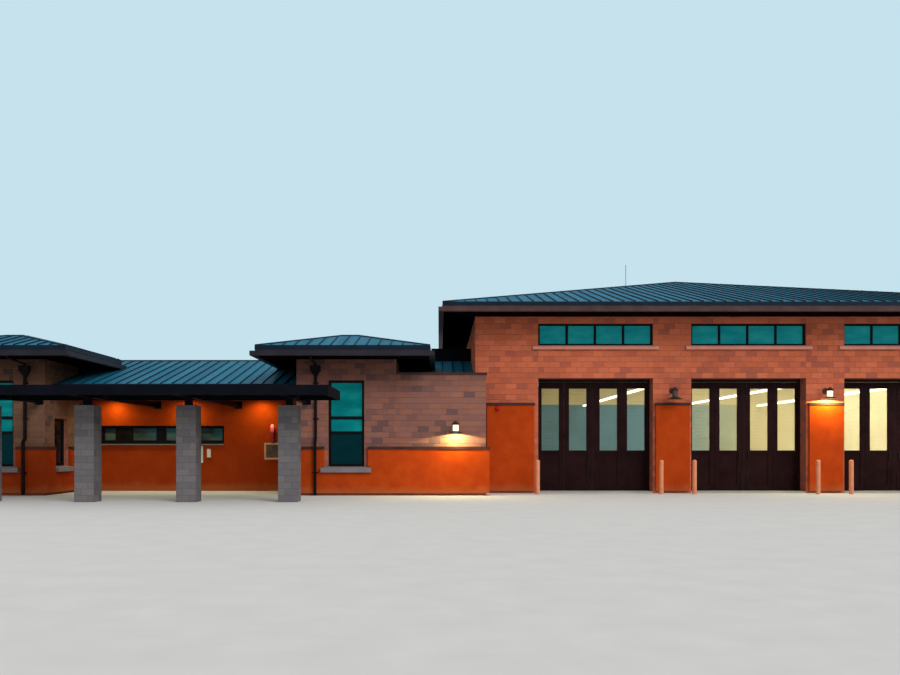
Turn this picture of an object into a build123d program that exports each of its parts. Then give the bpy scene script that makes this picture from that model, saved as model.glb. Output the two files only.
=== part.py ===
import os

from build123d import *

os.makedirs("parts", exist_ok=True)

# A fire station as a half-size model: every size here is half that of the real building.
# X runs along the street front, -Y faces the street and Z is up from the ground.
# The origin is on the ground under the roof peak of the square apparatus hall.

# Masonry
course = 101.6
wall = 152.4
slab = 30.0

# Apparatus hall
hall_width = 10160.0
hall_depth = 10160.0
hall_wall_height = 3275.0
hall_front_thickness = 342.9
bay_count = 3
bay_pitch = 2844.8
bay_width = 2133.6
bay_height = 21 * course
clerestory_sill_height = 27 * course
clerestory_height = 4 * course
clerestory_panes = 4
ceiling_thickness = 40.0

# Four-fold bay doors
jamb_tube = 30.0
head_tube = 50.0
jamb_depth = 75.0
leaf_thickness = 45.0
leaf_gap = 6.0
outer_stile = 50.0
fold_stile = 84.0
meeting_stile = 114.0
top_rail = 112.0
lock_rail = 40.0
bottom_rail = 90.0
door_glass_sill = 780.0
door_panel = 18.0
door_glass_thickness = 12.0
floor_gap = 8.0
hinge_radius = 8.0
hinge_sides = 8
hinge_length = 90.0
hinge_count = 3
hinge_plate = 60.0
hinge_plate_thickness = 4.0
hinge_end_gap = 260.0
astragal_width = 44.0

# Windows
frame_bar = 28.0
tower_frame_bar = 36.0
frame_depth = 60.0
window_setback = 50.0
pane_thickness = 12.0
sill_projection = 48.0
sill_wash = 25.0
clerestory_sill_overhang = 101.6
clerestory_sill_depth = 0.75 * course

# Stucco panels and their metal caps
stucco_depth = 60.0
stucco_base = 40.0
pilaster_height = 16 * course
pilaster_width = 625.0
pilaster_jamb_gap = 80.0
wainscot_height = 8 * course
wainscot_window_gap = 70.0
cap_height = 48.0
cap_projection = 14.0

# Eaves and gutters
overhang = 610.0
soffit_thickness = 12.0
fascia_depth = 150.0
fascia_thickness = 20.0
gutter_width = 76.0
gutter_height = 80.0
gutter_wall = 6.0
gutter_lip = 18.0

# Roofs
roof_run = 12.0
roof_rise = 3.0
roof_thickness = 30.0
hip_cap_width = 90.0
hip_cap_height = 16.0
hip_gap = 8.0
mitre_gap = 1.0
mast_x = -1200.0
mast_top = 5300.0
mast_radius = 7.0

# Towers
tower_width = 1755.0
tower_depth = 1440.0
tower_projection = 815.0
tower_wall_height = 2400.0
tower_arch_width = 900.0
tower_arch_height = 16 * course
tower_gap = 1435.0
tower_spacing = 6197.5
tower_window_width = 635.0
tower_window_sill = 5 * course
tower_window_head = 20 * course
tower_transoms = (1105.0, 1370.0)
tower_sill_width = 885.0
side_opening_distance = 635.0
side_window_width = 520.0
side_window_head = 13.5 * course
side_transom = 1130.0
side_sill_width = 640.0
entry_door_width = 508.0
entry_door_height = 10.5 * course
entry_stile = 40.0
entry_rail = 80.0
entry_pull_radius = 8.0
entry_pull_length = 300.0
entry_pull_reach = 30.0

# Low wall beside the hall
low_wall_height = 21 * course
coping_height = 35.0
coping_overhang = 20.0

# Living quarters and porch
quarters_wall_height = 18 * course
quarters_depth = 3879.0
porch_depth = 1755.0
porch_eave = 300.0
quarters_fascia_depth = 131.2
rear_eave = 535.0
rake = 60.0
ribbon_left = 352.0
ribbon_width = 2416.0
ribbon_sill = 915.0
ribbon_head = 1270.0
ribbon_panes = ((67.0, 216.0), (616.0, 469.0), (1262.0, 469.0), (1908.0, 469.0))
ribbon_bottom_bar = 60.0
ribbon_top_bar = 44.0
ribbon_sill_thickness = 22.0
ribbon_sill_projection = 30.0
ridge_cap_width = 120.0
screen_width = 820.0
screen_depth = 1400.0
screen_top = 2930.0
screen_wall = 30.0
screen_distance = 2995.0

# Porch canopy
column_size = 300.0
column_height = 14.75 * course
column_pitch = 1575.0
column_centre = 1776.0
column_shift = 38.0
column_count = 4
post_size = 100.0
post_height = 121.4
post_plate = 220.0
post_plate_thickness = 5.0
beam_width = 100.0
beam_height = 90.0
beam_web = 8.0
purlin_size = 30.0
purlin_count = 4
canopy_front = 2610.0
canopy_back = 1085.0
canopy_side = 712.0
canopy_fascia_flange = 40.0
canopy_fascia_thickness = 8.0
deck_thickness = 12.0
deck_slot = 40.0

# Fittings
bollard_radius = 40.0
bollard_height = 620.0
bollard_jamb_gap = 55.0
bollard_distance = 395.0
lamp_rim_height = 1735.0
low_wall_lamp_rim_height = 1088.0
low_wall_lamp_inset = 537.0
lamp_plate_radius = 55.0
lamp_plate_thickness = 12.0
lamp_arm_radius = 12.0
lamp_arm_sides = 8
lamp_reach = 190.0
lamp_shade_radius = 148.0
lamp_shade_height = 44.0
lamp_shade_wall = 5.0
lamp_jar_radius = 50.0
lamp_jar_height = 106.0
lamp_jar_wall = 4.0
lamp_stem_radius = 12.0
lamp_cap_radius = 62.0
lamp_cap_height = 68.0
lamp_cap_shoulder = 26.0
bell_radius = 46.0
bell_depth = 26.0
bell_mount_radius = 14.0
bell_mount_depth = 12.0
bell_height = 1570.0
bell_inset = 415.0
beacon_from_porch_edge = 730.0
beacon_gap = 20.0
beacon_body_height = 290.0
beacon_body_width = 60.0
beacon_body_depth = 55.0
beacon_dome_radius = 27.0
plaque_width = 312.0
plaque_height = 324.0
plaque_bottom = 611.0
plaque_thickness = 16.0
plaque_rim = 22.0
plaque_recess = 8.0
downlight_radius = 62.0
downlight_depth = 14.0
downlight_count = 3
downlight_pitch = 1380.0
downlight_from_wall = 300.0
strip_light_width = 60.0
strip_light_length = 1220.0
strip_light_depth = 40.0
strip_light_spacing = 1100.0
strip_light_rows = 3
strip_light_row_pitch = 2900.0
downspout_size = 44.0
downspout_inset = 340.0
downspout_gap = 6.0
downspout_foot = 12.0
jog_above_cap = 70.0
leader_width = 170.0
leader_depth = 96.0
leader_box_height = 80.0
leader_taper_height = 110.0
leader_top = 2285.0
outlet_radius = 18.0
outlet_sides = 8
outlet_drop = 30.0

# Places worked out from the sizes above
slope = roof_rise / roof_run
hall_left = -hall_width / 2
hall_right = hall_width / 2
hall_front = -hall_depth / 2
hall_rear = hall_depth / 2
street_line = hall_front - tower_projection
tower_back = street_line + tower_depth
tower_middle = street_line + tower_depth / 2
side_opening_y = street_line + side_opening_distance
tower_half = tower_width / 2
tower_half_depth = tower_depth / 2
right_tower_x = hall_left - tower_gap - tower_half
left_tower_x = right_tower_x - tower_spacing
tower_centres = (left_tower_x, right_tower_x)
porch_left = left_tower_x + tower_half
porch_right = right_tower_x - tower_half
porch_middle = (porch_left + porch_right) / 2
quarters_left = left_tower_x - tower_half
low_left = right_tower_x + tower_half
low_wall_end = hall_left + wall
quarters_rear = tower_back + quarters_depth
porch_back = street_line + porch_depth
entry_face = porch_back - wall
bay_centres = [(i - (bay_count - 1) / 2) * bay_pitch for i in range(bay_count)]
porch_eave_line = street_line + porch_eave
quarters_eave_height = quarters_wall_height + quarters_fascia_depth
rear_eave_line = quarters_rear + rear_eave
ridge_line = (porch_eave_line + rear_eave_line) / 2
ridge_height = quarters_eave_height + (ridge_line - porch_eave_line) * slope
screen_left = hall_left - screen_width


def street_plane(y):
    # Sketch plane facing the street: local x is X and local y is Z
    return Plane.XZ.offset(-y)


def hip_roof(x, y, half_x, half_y, base, edge):
    # Two crossing gables leave a pyramid, or a hip roof where the plan is oblong
    with BuildPart() as roof:
        with BuildSketch(street_plane(y + half_y)):
            with BuildLine():
                Polyline(
                    (x - half_x, base),
                    (x + half_x, base),
                    (x + half_x, edge),
                    (x, edge + half_x * slope),
                    (x - half_x, edge),
                    close=True,
                )
            make_face()
        extrude(amount=2 * half_y)
        with BuildSketch(Plane.YZ.offset(x - half_x)):
            with BuildLine():
                Polyline(
                    (y - half_y, base),
                    (y + half_y, base),
                    (y + half_y, edge),
                    (y, edge + half_y * slope),
                    (y - half_y, edge),
                    close=True,
                )
            make_face()
        extrude(amount=2 * half_x, mode=Mode.INTERSECT)
    return roof.part


def hip_strips(x, y, half_x, half_y, width):
    # Plan strips along the four hips, and along the ridge between them on an oblong roof
    reach = min(half_x, half_y) * 2 ** 0.5
    with BuildSketch() as strips:
        for side_x in (-1, 1):
            for side_y in (-1, 1):
                with Locations((x + side_x * half_x, y + side_y * half_y)):
                    Rectangle(2 * reach, width, rotation=45 * side_x * side_y)
        with Locations((x, y)):
            Rectangle(
                2 * max(half_x - half_y, 0) + width,
                2 * max(half_y - half_x, 0) + width,
            )
    return strips.sketch


def roof_slopes(x, y, half_x, half_y, base):
    # Four hollow-backed slopes that stop short of each other under the hip caps
    outer = hip_roof(x, y, half_x, half_y, base, base + roof_thickness)
    inner = hip_roof(x, y, half_x, half_y, base - roof_thickness, base)
    with BuildPart() as slopes:
        add(outer)
        add(inner, mode=Mode.SUBTRACT)
        with BuildSketch(Plane.XY.offset(base)):
            add(hip_strips(x, y, half_x, half_y, hip_gap))
        extrude(amount=half_x + half_y, mode=Mode.SUBTRACT)
    return slopes.part


def hip_caps(x, y, half_x, half_y, base):
    # Folded caps along the hips, meeting at the peak
    edge = base + roof_thickness
    raised = hip_roof(x, y, half_x, half_y, base, edge + hip_cap_height)
    covered = hip_roof(x, y, half_x, half_y, base, edge)
    with BuildPart() as caps:
        with BuildSketch(Plane.XY.offset(base)):
            add(hip_strips(x, y, half_x, half_y, hip_cap_width))
        extrude(amount=half_x + half_y)
        add(raised, mode=Mode.INTERSECT)
        add(covered, mode=Mode.SUBTRACT)
    return caps.part


def mitred_ring(x, y, outer_x, outer_y, inner_x, inner_y, level, depth):
    # Flat ring round a middle point, given by its half sizes and cut at the corners
    with BuildPart() as ring:
        with BuildSketch(Plane.XY.offset(level)):
            with Locations((x, y)):
                Rectangle(2 * outer_x, 2 * outer_y)
                Rectangle(2 * inner_x, 2 * inner_y, mode=Mode.SUBTRACT)
            add(hip_strips(x, y, outer_x, outer_y, mitre_gap), mode=Mode.SUBTRACT)
        extrude(amount=depth)
    return ring.part


def soffit_ring(x, y, half_x, half_y, height):
    # Soffit boards from the wall's inner face out to the fascia, one length to a side
    reach = overhang - fascia_thickness
    outer = (half_x + reach, half_y + reach)
    inner = (half_x - wall, half_y - wall)
    return mitred_ring(x, y, *outer, *inner, height, soffit_thickness)


def fascia_ring(x, y, half_x, half_y, height):
    # Fascia boards round the soffit, up to the underside of the roof
    outer = (half_x + overhang, half_y + overhang)
    inner = (outer[0] - fascia_thickness, outer[1] - fascia_thickness)
    return mitred_ring(x, y, *outer, *inner, height, fascia_depth)


def gutter_ring(x, y, half_x, half_y, height):
    # Box gutter, open at the top with a rolled lip, mitred round the four fascias
    in_x = 2 * (half_x + overhang)
    in_y = 2 * (half_y + overhang)
    lip_level = height + gutter_height - gutter_wall
    with BuildPart() as ring:
        for level, depth, outer, inner, mode in (
            (height, gutter_height, gutter_width, 0, Mode.ADD),
            (height + gutter_wall, gutter_height, gutter_width - gutter_wall, gutter_wall, Mode.SUBTRACT),
            (lip_level, gutter_wall, gutter_width, gutter_width - gutter_lip, Mode.ADD),
        ):
            with BuildSketch(Plane.XY.offset(level)):
                with Locations((x, y)):
                    Rectangle(in_x + 2 * outer, in_y + 2 * outer)
                    Rectangle(in_x + 2 * inner, in_y + 2 * inner, mode=Mode.SUBTRACT)
            extrude(amount=depth, mode=mode)
        with BuildSketch(Plane.XY.offset(height)):
            add(hip_strips(x, y, in_x / 2 + gutter_width, in_y / 2 + gutter_width, mitre_gap))
        extrude(amount=gutter_height, mode=Mode.SUBTRACT)
    return ring.part


def bar_grid(x, bottom, width, height, bar, columns, rows):
    # Sketch of a frame with evenly spaced mullions and transoms at stated heights
    with BuildSketch() as grid:
        with Locations((x, bottom + height / 2)):
            Rectangle(width, height)
        pane_width = (width - bar) / columns - bar
        levels = [bottom] + [row - bar / 2 for row in rows] + [bottom + height - bar]
        for low, high in zip(levels[:-1], levels[1:]):
            pane_height = high - low - bar
            for column in range(columns):
                pane_x = x - width / 2 + bar + pane_width / 2 + column * (pane_width + bar)
                with Locations((pane_x, low + bar + pane_height / 2)):
                    Rectangle(pane_width, pane_height, mode=Mode.SUBTRACT)
    return grid.sketch


# Hall floor slab between the walls
with BuildPart() as hall_floor:
    floor_front = hall_front + hall_front_thickness
    floor_rear = hall_rear - wall
    with BuildSketch():
        with Locations((0, (floor_front + floor_rear) / 2)):
            Rectangle(hall_width - 2 * wall, floor_rear - floor_front)
        for x in bay_centres:
            with Locations((x, hall_front + hall_front_thickness / 2)):
                Rectangle(bay_width, hall_front_thickness)
    extrude(amount=slab)

# Front wall with three bay openings and the clerestory windows over them
with BuildPart() as hall_front_wall:
    with BuildSketch(street_plane(hall_front)):
        with Locations((0, hall_wall_height / 2)):
            Rectangle(hall_width, hall_wall_height)
        for x in bay_centres:
            with Locations((x, bay_height / 2)):
                Rectangle(bay_width, bay_height, mode=Mode.SUBTRACT)
            with Locations((x, clerestory_sill_height + clerestory_height / 2)):
                Rectangle(bay_width, clerestory_height, mode=Mode.SUBTRACT)
    extrude(amount=-hall_front_thickness)

with BuildPart() as hall_rear_wall:
    with BuildSketch(street_plane(hall_rear)):
        with Locations((0, hall_wall_height / 2)):
            Rectangle(hall_width, hall_wall_height)
        for x in bay_centres:
            with Locations((x, clerestory_sill_height + clerestory_height / 2)):
                Rectangle(bay_width, clerestory_height, mode=Mode.SUBTRACT)
    extrude(amount=wall)

with BuildPart() as hall_side_walls:
    side_front = hall_front + hall_front_thickness
    side_rear = hall_rear - wall
    with BuildSketch():
        for x in (hall_left + wall / 2, hall_right - wall / 2):
            with Locations((x, (side_front + side_rear) / 2)):
                Rectangle(wall, side_rear - side_front)
    extrude(amount=hall_wall_height)

# Flat ceiling fitted between the walls, level with their tops
with BuildPart() as hall_ceiling:
    with BuildSketch(Plane.XY.offset(hall_wall_height - ceiling_thickness)):
        with Locations((0, (side_front + side_rear) / 2)):
            Rectangle(hall_width - 2 * wall, side_rear - side_front)
    extrude(amount=ceiling_thickness)

# Tall stucco panels on the bay piers
with BuildPart() as pilaster_panels:
    end_inner = bay_pitch + bay_width / 2 + pilaster_jamb_gap
    with BuildSketch(street_plane(hall_front)) as panel_sketch:
        for x in (-bay_pitch / 2, bay_pitch / 2):
            with Locations((x, (stucco_base + pilaster_height) / 2)):
                Rectangle(pilaster_width, pilaster_height - stucco_base)
        left_width = -end_inner - low_wall_end - stucco_depth
        with Locations((low_wall_end + stucco_depth + left_width / 2, (stucco_base + pilaster_height) / 2)):
            Rectangle(left_width, pilaster_height - stucco_base)
        right_width = hall_right + stucco_depth - end_inner
        with Locations((end_inner + right_width / 2, (stucco_base + pilaster_height) / 2)):
            Rectangle(right_width, pilaster_height - stucco_base)
    extrude(amount=stucco_depth)

with BuildPart() as clerestory_frames:
    clerestory = (clerestory_sill_height, bay_width, clerestory_height)
    for face, depth in ((hall_front + window_setback, -frame_depth), (hall_rear - window_setback, frame_depth)):
        for x in bay_centres:
            grid = bar_grid(x, *clerestory, frame_bar, clerestory_panes, [])
            with BuildSketch(street_plane(face)):
                add(grid)
            extrude(amount=depth)

# Four-fold doors: jamb and head tubes, then four hinged leaves to a bay
frame_face = hall_front + hall_front_thickness - jamb_depth
with BuildPart() as bay_door_frames:
    for x in bay_centres:
        with BuildSketch(street_plane(frame_face)):
            with Locations((x, (bay_height + slab) / 2)):
                Rectangle(bay_width, bay_height - slab)
            with Locations((x, (bay_height - head_tube + slab) / 2)):
                Rectangle(bay_width - 2 * jamb_tube, bay_height - head_tube - slab, mode=Mode.SUBTRACT)
        extrude(amount=-jamb_depth)

leaf_bottom = slab + floor_gap
leaf_top = bay_height - head_tube - leaf_gap
half_opening = bay_width / 2 - jamb_tube
stiles = outer_stile + 2 * fold_stile + meeting_stile
pane_width = (half_opening - 2.5 * leaf_gap - stiles) / 2
inner_leaf = meeting_stile + pane_width + fold_stile
outer_leaf = fold_stile + pane_width + outer_stile
fold_joint = inner_leaf + leaf_gap
jamb_joint = fold_joint + outer_leaf + leaf_gap
inner_leaf_x = leaf_gap / 2 + inner_leaf / 2
outer_leaf_x = fold_joint + leaf_gap / 2 + outer_leaf / 2
inner_pane_x = leaf_gap / 2 + meeting_stile + pane_width / 2
outer_pane_x = fold_joint + leaf_gap / 2 + fold_stile + pane_width / 2
glass_top = leaf_top - top_rail
glass_bottom = door_glass_sill
panel_top = glass_bottom - lock_rail
panel_bottom = leaf_bottom + bottom_rail


def leaves(x):
    # Middle and width of each leaf, and the middle of its pane
    return [
        (x + side * leaf_x, width, x + side * pane_x)
        for side in (-1, 1)
        for leaf_x, width, pane_x in (
            (inner_leaf_x, inner_leaf, inner_pane_x),
            (outer_leaf_x, outer_leaf, outer_pane_x),
        )
    ]


def folding_door(x):
    # Tube-framed leaves with a recessed lower panel and an open upper light
    with BuildPart() as door:
        for leaf_x, width, pane_x in leaves(x):
            with BuildSketch(street_plane(frame_face)):
                with Locations((leaf_x, (leaf_bottom + leaf_top) / 2)):
                    Rectangle(width, leaf_top - leaf_bottom)
                with Locations((pane_x, (glass_bottom + glass_top) / 2)):
                    Rectangle(pane_width, glass_top - glass_bottom, mode=Mode.SUBTRACT)
            extrude(amount=-leaf_thickness)
            recess = (leaf_thickness - door_panel) / 2
            for face, depth in ((frame_face, -recess), (frame_face + leaf_thickness, recess)):
                with BuildSketch(street_plane(face)):
                    with Locations((pane_x, (panel_bottom + panel_top) / 2)):
                        Rectangle(pane_width, panel_top - panel_bottom)
                extrude(amount=depth, mode=Mode.SUBTRACT)
    return door.part


door_parts = [folding_door(x) for x in bay_centres]

# Hinges fold each outer pair of leaves off its jamb, and a cover strip closes the middle
with BuildPart() as bay_door_hinges:
    hinge_levels = [
        leaf_bottom + hinge_end_gap + i * (leaf_top - leaf_bottom - 2 * hinge_end_gap) / (hinge_count - 1)
        for i in range(hinge_count)
    ]
    for x in bay_centres:
        joints = [x + side * spot for side in (-1, 1) for spot in (fold_joint, jamb_joint)]
        joint_spots = [(joint_x, level) for joint_x in joints for level in hinge_levels]
        with BuildSketch(street_plane(frame_face)):
            with Locations(*joint_spots):
                Rectangle(hinge_plate, hinge_length)
            with Locations((x, (leaf_bottom + leaf_top) / 2)):
                Rectangle(astragal_width, leaf_top - leaf_bottom)
        extrude(amount=hinge_plate_thickness)
        for joint_x, level in joint_spots:
            barrel_y = frame_face - hinge_plate_thickness
            behind = (Align.CENTER, Align.MIN)
            with BuildSketch(Plane.XY.offset(level - hinge_length / 2)):
                with Locations((joint_x, barrel_y)):
                    RegularPolygon(hinge_radius, hinge_sides, rotation=180 / hinge_sides)
                    Rectangle(2 * hinge_radius, hinge_radius, align=behind, mode=Mode.SUBTRACT)
            extrude(amount=hinge_length)

with BuildPart() as bay_door_glass:
    for x in bay_centres:
        with BuildSketch(street_plane(frame_face + (leaf_thickness - door_glass_thickness) / 2)):
            for leaf_x, width, pane_x in leaves(x):
                with Locations((pane_x, (glass_bottom + glass_top) / 2)):
                    Rectangle(pane_width, glass_top - glass_bottom)
        extrude(amount=-door_glass_thickness)

# Hall eaves, gutter, roof and hip caps
hall_half_x = hall_width / 2
hall_half_y = hall_depth / 2
hall_roof_base = hall_wall_height + fascia_depth
hall_eaves = soffit_ring(0, 0, hall_half_x, hall_half_y, hall_wall_height)
hall_fascia = fascia_ring(0, 0, hall_half_x, hall_half_y, hall_wall_height)
hall_gutter = gutter_ring(0, 0, hall_half_x, hall_half_y, hall_wall_height)
hall_roof = roof_slopes(0, 0, hall_half_x + overhang, hall_half_y + overhang, hall_roof_base)
hall_hip_caps = hip_caps(0, 0, hall_half_x + overhang, hall_half_y + overhang, hall_roof_base)

# Towers: a block shell each, open at the back to the quarters, with a tall street window
# and a window or the entry door on the porch side
porch_side = {left_tower_x: 1, right_tower_x: -1}
with BuildPart() as tower_walls:
    for x in tower_centres:
        with BuildSketch():
            with Locations((x, tower_middle)):
                Rectangle(tower_width, tower_depth)
                Rectangle(tower_width - 2 * wall, tower_depth - 2 * wall, mode=Mode.SUBTRACT)
        extrude(amount=tower_wall_height)
        with BuildSketch(street_plane(street_line)):
            with Locations((x, (tower_window_sill + tower_window_head) / 2)):
                Rectangle(tower_window_width, tower_window_head - tower_window_sill)
        extrude(amount=-wall, mode=Mode.SUBTRACT)
        with BuildSketch(street_plane(tower_back)):
            with Locations((x, tower_arch_height / 2)):
                Rectangle(tower_arch_width, tower_arch_height)
        extrude(amount=wall, mode=Mode.SUBTRACT)
        inner_face = x + porch_side[x] * (tower_half - wall)
        with BuildSketch(Plane.YZ.offset(inner_face)):
            if x == left_tower_x:
                with Locations((side_opening_y, (tower_window_sill + side_window_head) / 2)):
                    Rectangle(side_window_width, side_window_head - tower_window_sill)
            else:
                with Locations((side_opening_y, entry_door_height / 2)):
                    Rectangle(entry_door_width, entry_door_height)
        extrude(amount=porch_side[x] * wall, mode=Mode.SUBTRACT)

tower_roof_base = tower_wall_height + fascia_depth

# The quarters roof plane passes under the rear eaves of the towers, which stop on it
with BuildPart() as under_quarters_roof:
    with BuildSketch(Plane.YZ.offset(quarters_left - 2 * overhang)):
        with BuildLine():
            Polyline(
                (tower_back, 0),
                (rear_eave_line, 0),
                (rear_eave_line, quarters_eave_height + roof_thickness),
                (ridge_line, ridge_height + roof_thickness),
                (tower_back, quarters_eave_height + roof_thickness + (tower_back - porch_eave_line) * slope),
                close=True,
            )
        make_face()
    extrude(amount=hall_left - quarters_left + 2 * overhang)

with BuildPart() as tower_eaves:
    for x in tower_centres:
        add(soffit_ring(x, tower_middle, tower_half, tower_half_depth, tower_wall_height))
    add(under_quarters_roof.part, mode=Mode.SUBTRACT)

with BuildPart() as tower_fascias:
    for x in tower_centres:
        add(fascia_ring(x, tower_middle, tower_half, tower_half_depth, tower_wall_height))
    add(under_quarters_roof.part, mode=Mode.SUBTRACT)

with BuildPart() as tower_gutters:
    for x in tower_centres:
        add(gutter_ring(x, tower_middle, tower_half, tower_half_depth, tower_wall_height))
    add(under_quarters_roof.part, mode=Mode.SUBTRACT)

tower_eave_x = tower_half + overhang
tower_eave_y = tower_half_depth + overhang
with BuildPart() as tower_roofs:
    for x in tower_centres:
        add(roof_slopes(x, tower_middle, tower_eave_x, tower_eave_y, tower_roof_base))

with BuildPart() as tower_hip_caps:
    for x in tower_centres:
        add(hip_caps(x, tower_middle, tower_eave_x, tower_eave_y, tower_roof_base))

# Low wall in line with the towers, with a return back to the hall
with BuildPart() as low_wall:
    with BuildSketch():
        with Locations(((low_left + low_wall_end) / 2, street_line + wall / 2)):
            Rectangle(low_wall_end - low_left, wall)
        with Locations((low_wall_end - wall / 2, (street_line + hall_front) / 2)):
            Rectangle(wall, hall_front - street_line)
    extrude(amount=low_wall_height)

with BuildPart() as low_wall_coping:
    with BuildSketch(Plane.XY.offset(low_wall_height)):
        coping_end = low_wall_end + coping_overhang
        coping_front = street_line - coping_overhang
        coping_width = wall + 2 * coping_overhang
        with Locations(((low_left + coping_end) / 2, coping_front + coping_width / 2)):
            Rectangle(coping_end - low_left, coping_width)
        with Locations((coping_end - coping_width / 2, (coping_front + hall_front) / 2)):
            Rectangle(coping_width, hall_front - coping_front)
    extrude(amount=coping_height)


def footprint(spread):
    # Outer plan of the whole building, spread outwards by a skin thickness
    with BuildSketch() as plan:
        Rectangle(hall_width, hall_depth)
        with Locations(((quarters_left + hall_left) / 2, (tower_back + quarters_rear) / 2)):
            Rectangle(hall_left - quarters_left, quarters_depth)
        with Locations(((low_left + low_wall_end) / 2, (street_line + hall_front) / 2)):
            Rectangle(low_wall_end - low_left, hall_front - street_line)
        with Locations(((low_left + hall_left) / 2, (hall_front + tower_back) / 2)):
            Rectangle(hall_left - low_left, tower_back - hall_front)
        for x in tower_centres:
            with Locations((x, tower_middle)):
                Rectangle(tower_width, tower_depth)
        with Locations((porch_middle, (tower_back + porch_back) / 2)):
            Rectangle(porch_right - porch_left, porch_back - tower_back, mode=Mode.SUBTRACT)
        if spread:
            offset(amount=spread, kind=Kind.INTERSECTION)
    return plan.sketch


def band_plan(depth):
    # A band of that depth round the building, left off the bay front and the porch wall
    with BuildSketch() as band:
        add(footprint(depth))
        add(footprint(0), mode=Mode.SUBTRACT)
        bay_front_start = low_wall_end + stucco_depth
        bay_front_end = hall_right + depth
        with Locations(((bay_front_start + bay_front_end) / 2, hall_front - depth / 2)):
            Rectangle(bay_front_end - bay_front_start, depth, mode=Mode.SUBTRACT)
        with Locations((porch_middle, porch_back)):
            Rectangle(porch_right - porch_left, 2 * wall, mode=Mode.SUBTRACT)
    return band.sketch


def window_notches(bottom, reach):
    # Blocks that keep the band clear of the tower windows, their sills and the entry door
    notch_depth = reach + stucco_depth
    with BuildPart() as notches:
        for x in tower_centres:
            with BuildSketch(street_plane(street_line)):
                with Locations((x, (bottom + tower_window_head) / 2)):
                    Rectangle(tower_window_width + 2 * wainscot_window_gap, tower_window_head - bottom)
                with Locations((x, bottom + course / 2)):
                    Rectangle(tower_sill_width, course)
            extrude(amount=notch_depth)
        with BuildSketch(Plane.YZ.offset(porch_left)):
            with Locations((side_opening_y, (bottom + side_window_head) / 2)):
                Rectangle(side_window_width + 2 * wainscot_window_gap, side_window_head - bottom)
            with Locations((side_opening_y, bottom + course / 2)):
                Rectangle(side_sill_width, course)
        extrude(amount=notch_depth)
        with BuildSketch(Plane.YZ.offset(porch_right)):
            with Locations((side_opening_y, entry_door_height / 2)):
                Rectangle(entry_door_width + 2 * wainscot_window_gap, entry_door_height)
        extrude(amount=-notch_depth)
    return notches.part


sill_bottom = tower_window_sill - course

# Low stucco band round the building, stopping short of the ground
with BuildPart() as wainscot:
    with BuildSketch(Plane.XY.offset(stucco_base)):
        add(band_plan(stucco_depth))
    extrude(amount=wainscot_height - stucco_base)
    add(window_notches(sill_bottom, 0), mode=Mode.SUBTRACT)

# Metal caps that close the tops of the low band and of the tall bay panels
with BuildPart() as stucco_caps:
    with BuildSketch(Plane.XY.offset(wainscot_height)):
        add(band_plan(stucco_depth + cap_projection))
    extrude(amount=cap_height)
    add(window_notches(sill_bottom, cap_projection), mode=Mode.SUBTRACT)
    cap_depth = stucco_depth + cap_projection
    with BuildSketch(Plane.XY.offset(pilaster_height)):
        for x in (-bay_pitch / 2, bay_pitch / 2):
            with Locations((x, hall_front - cap_depth / 2)):
                Rectangle(pilaster_width + 2 * cap_projection, cap_depth)
        cap_left = low_wall_end
        cap_right = -end_inner + cap_projection
        with Locations(((cap_left + cap_right) / 2, hall_front - cap_depth / 2)):
            Rectangle(cap_right - cap_left, cap_depth)
        cap_left = end_inner - cap_projection
        cap_right = hall_right + cap_depth
        with Locations(((cap_left + cap_right) / 2, hall_front - cap_depth / 2)):
            Rectangle(cap_right - cap_left, cap_depth)
    extrude(amount=cap_height)

# Quarters: stucco entry wall between the towers, block rear and gable walls
with BuildPart() as entry_wall:
    with BuildSketch(street_plane(entry_face)):
        with Locations((porch_middle, quarters_wall_height / 2)):
            Rectangle(porch_right - porch_left, quarters_wall_height)
        ribbon_x = porch_left + ribbon_left + ribbon_width / 2
        with Locations((ribbon_x, (ribbon_sill + ribbon_head) / 2)):
            Rectangle(ribbon_width, ribbon_head - ribbon_sill, mode=Mode.SUBTRACT)
    extrude(amount=-wall)
    with BuildSketch():
        for x in (porch_left - wall / 2, porch_right + wall / 2):
            with Locations((x, (tower_back + porch_back) / 2)):
                Rectangle(wall, porch_back - tower_back)
    extrude(amount=quarters_wall_height)


def roof_underside(y):
    # Height of the quarters roof's lower face above a line along the street
    return quarters_eave_height + min(y - porch_eave_line, rear_eave_line - y) * slope


with BuildPart() as quarters_walls:
    with BuildSketch(street_plane(quarters_rear)):
        with Locations(((quarters_left + hall_left) / 2, quarters_wall_height / 2)):
            Rectangle(hall_left - quarters_left, quarters_wall_height)
        rear_ribbon_x = (quarters_left + hall_left) / 2
        with Locations((rear_ribbon_x, (ribbon_sill + ribbon_head) / 2)):
            Rectangle(ribbon_width, ribbon_head - ribbon_sill, mode=Mode.SUBTRACT)
    extrude(amount=wall)
    with BuildSketch(Plane.YZ.offset(quarters_left)):
        with BuildLine():
            Polyline(
                (tower_back, 0),
                (quarters_rear, 0),
                (quarters_rear, quarters_wall_height),
                (quarters_rear - wall, quarters_wall_height),
                (quarters_rear - wall, roof_underside(quarters_rear - wall)),
                (ridge_line, ridge_height),
                (tower_back, roof_underside(tower_back)),
                close=True,
            )
        make_face()
    extrude(amount=wall)

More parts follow.
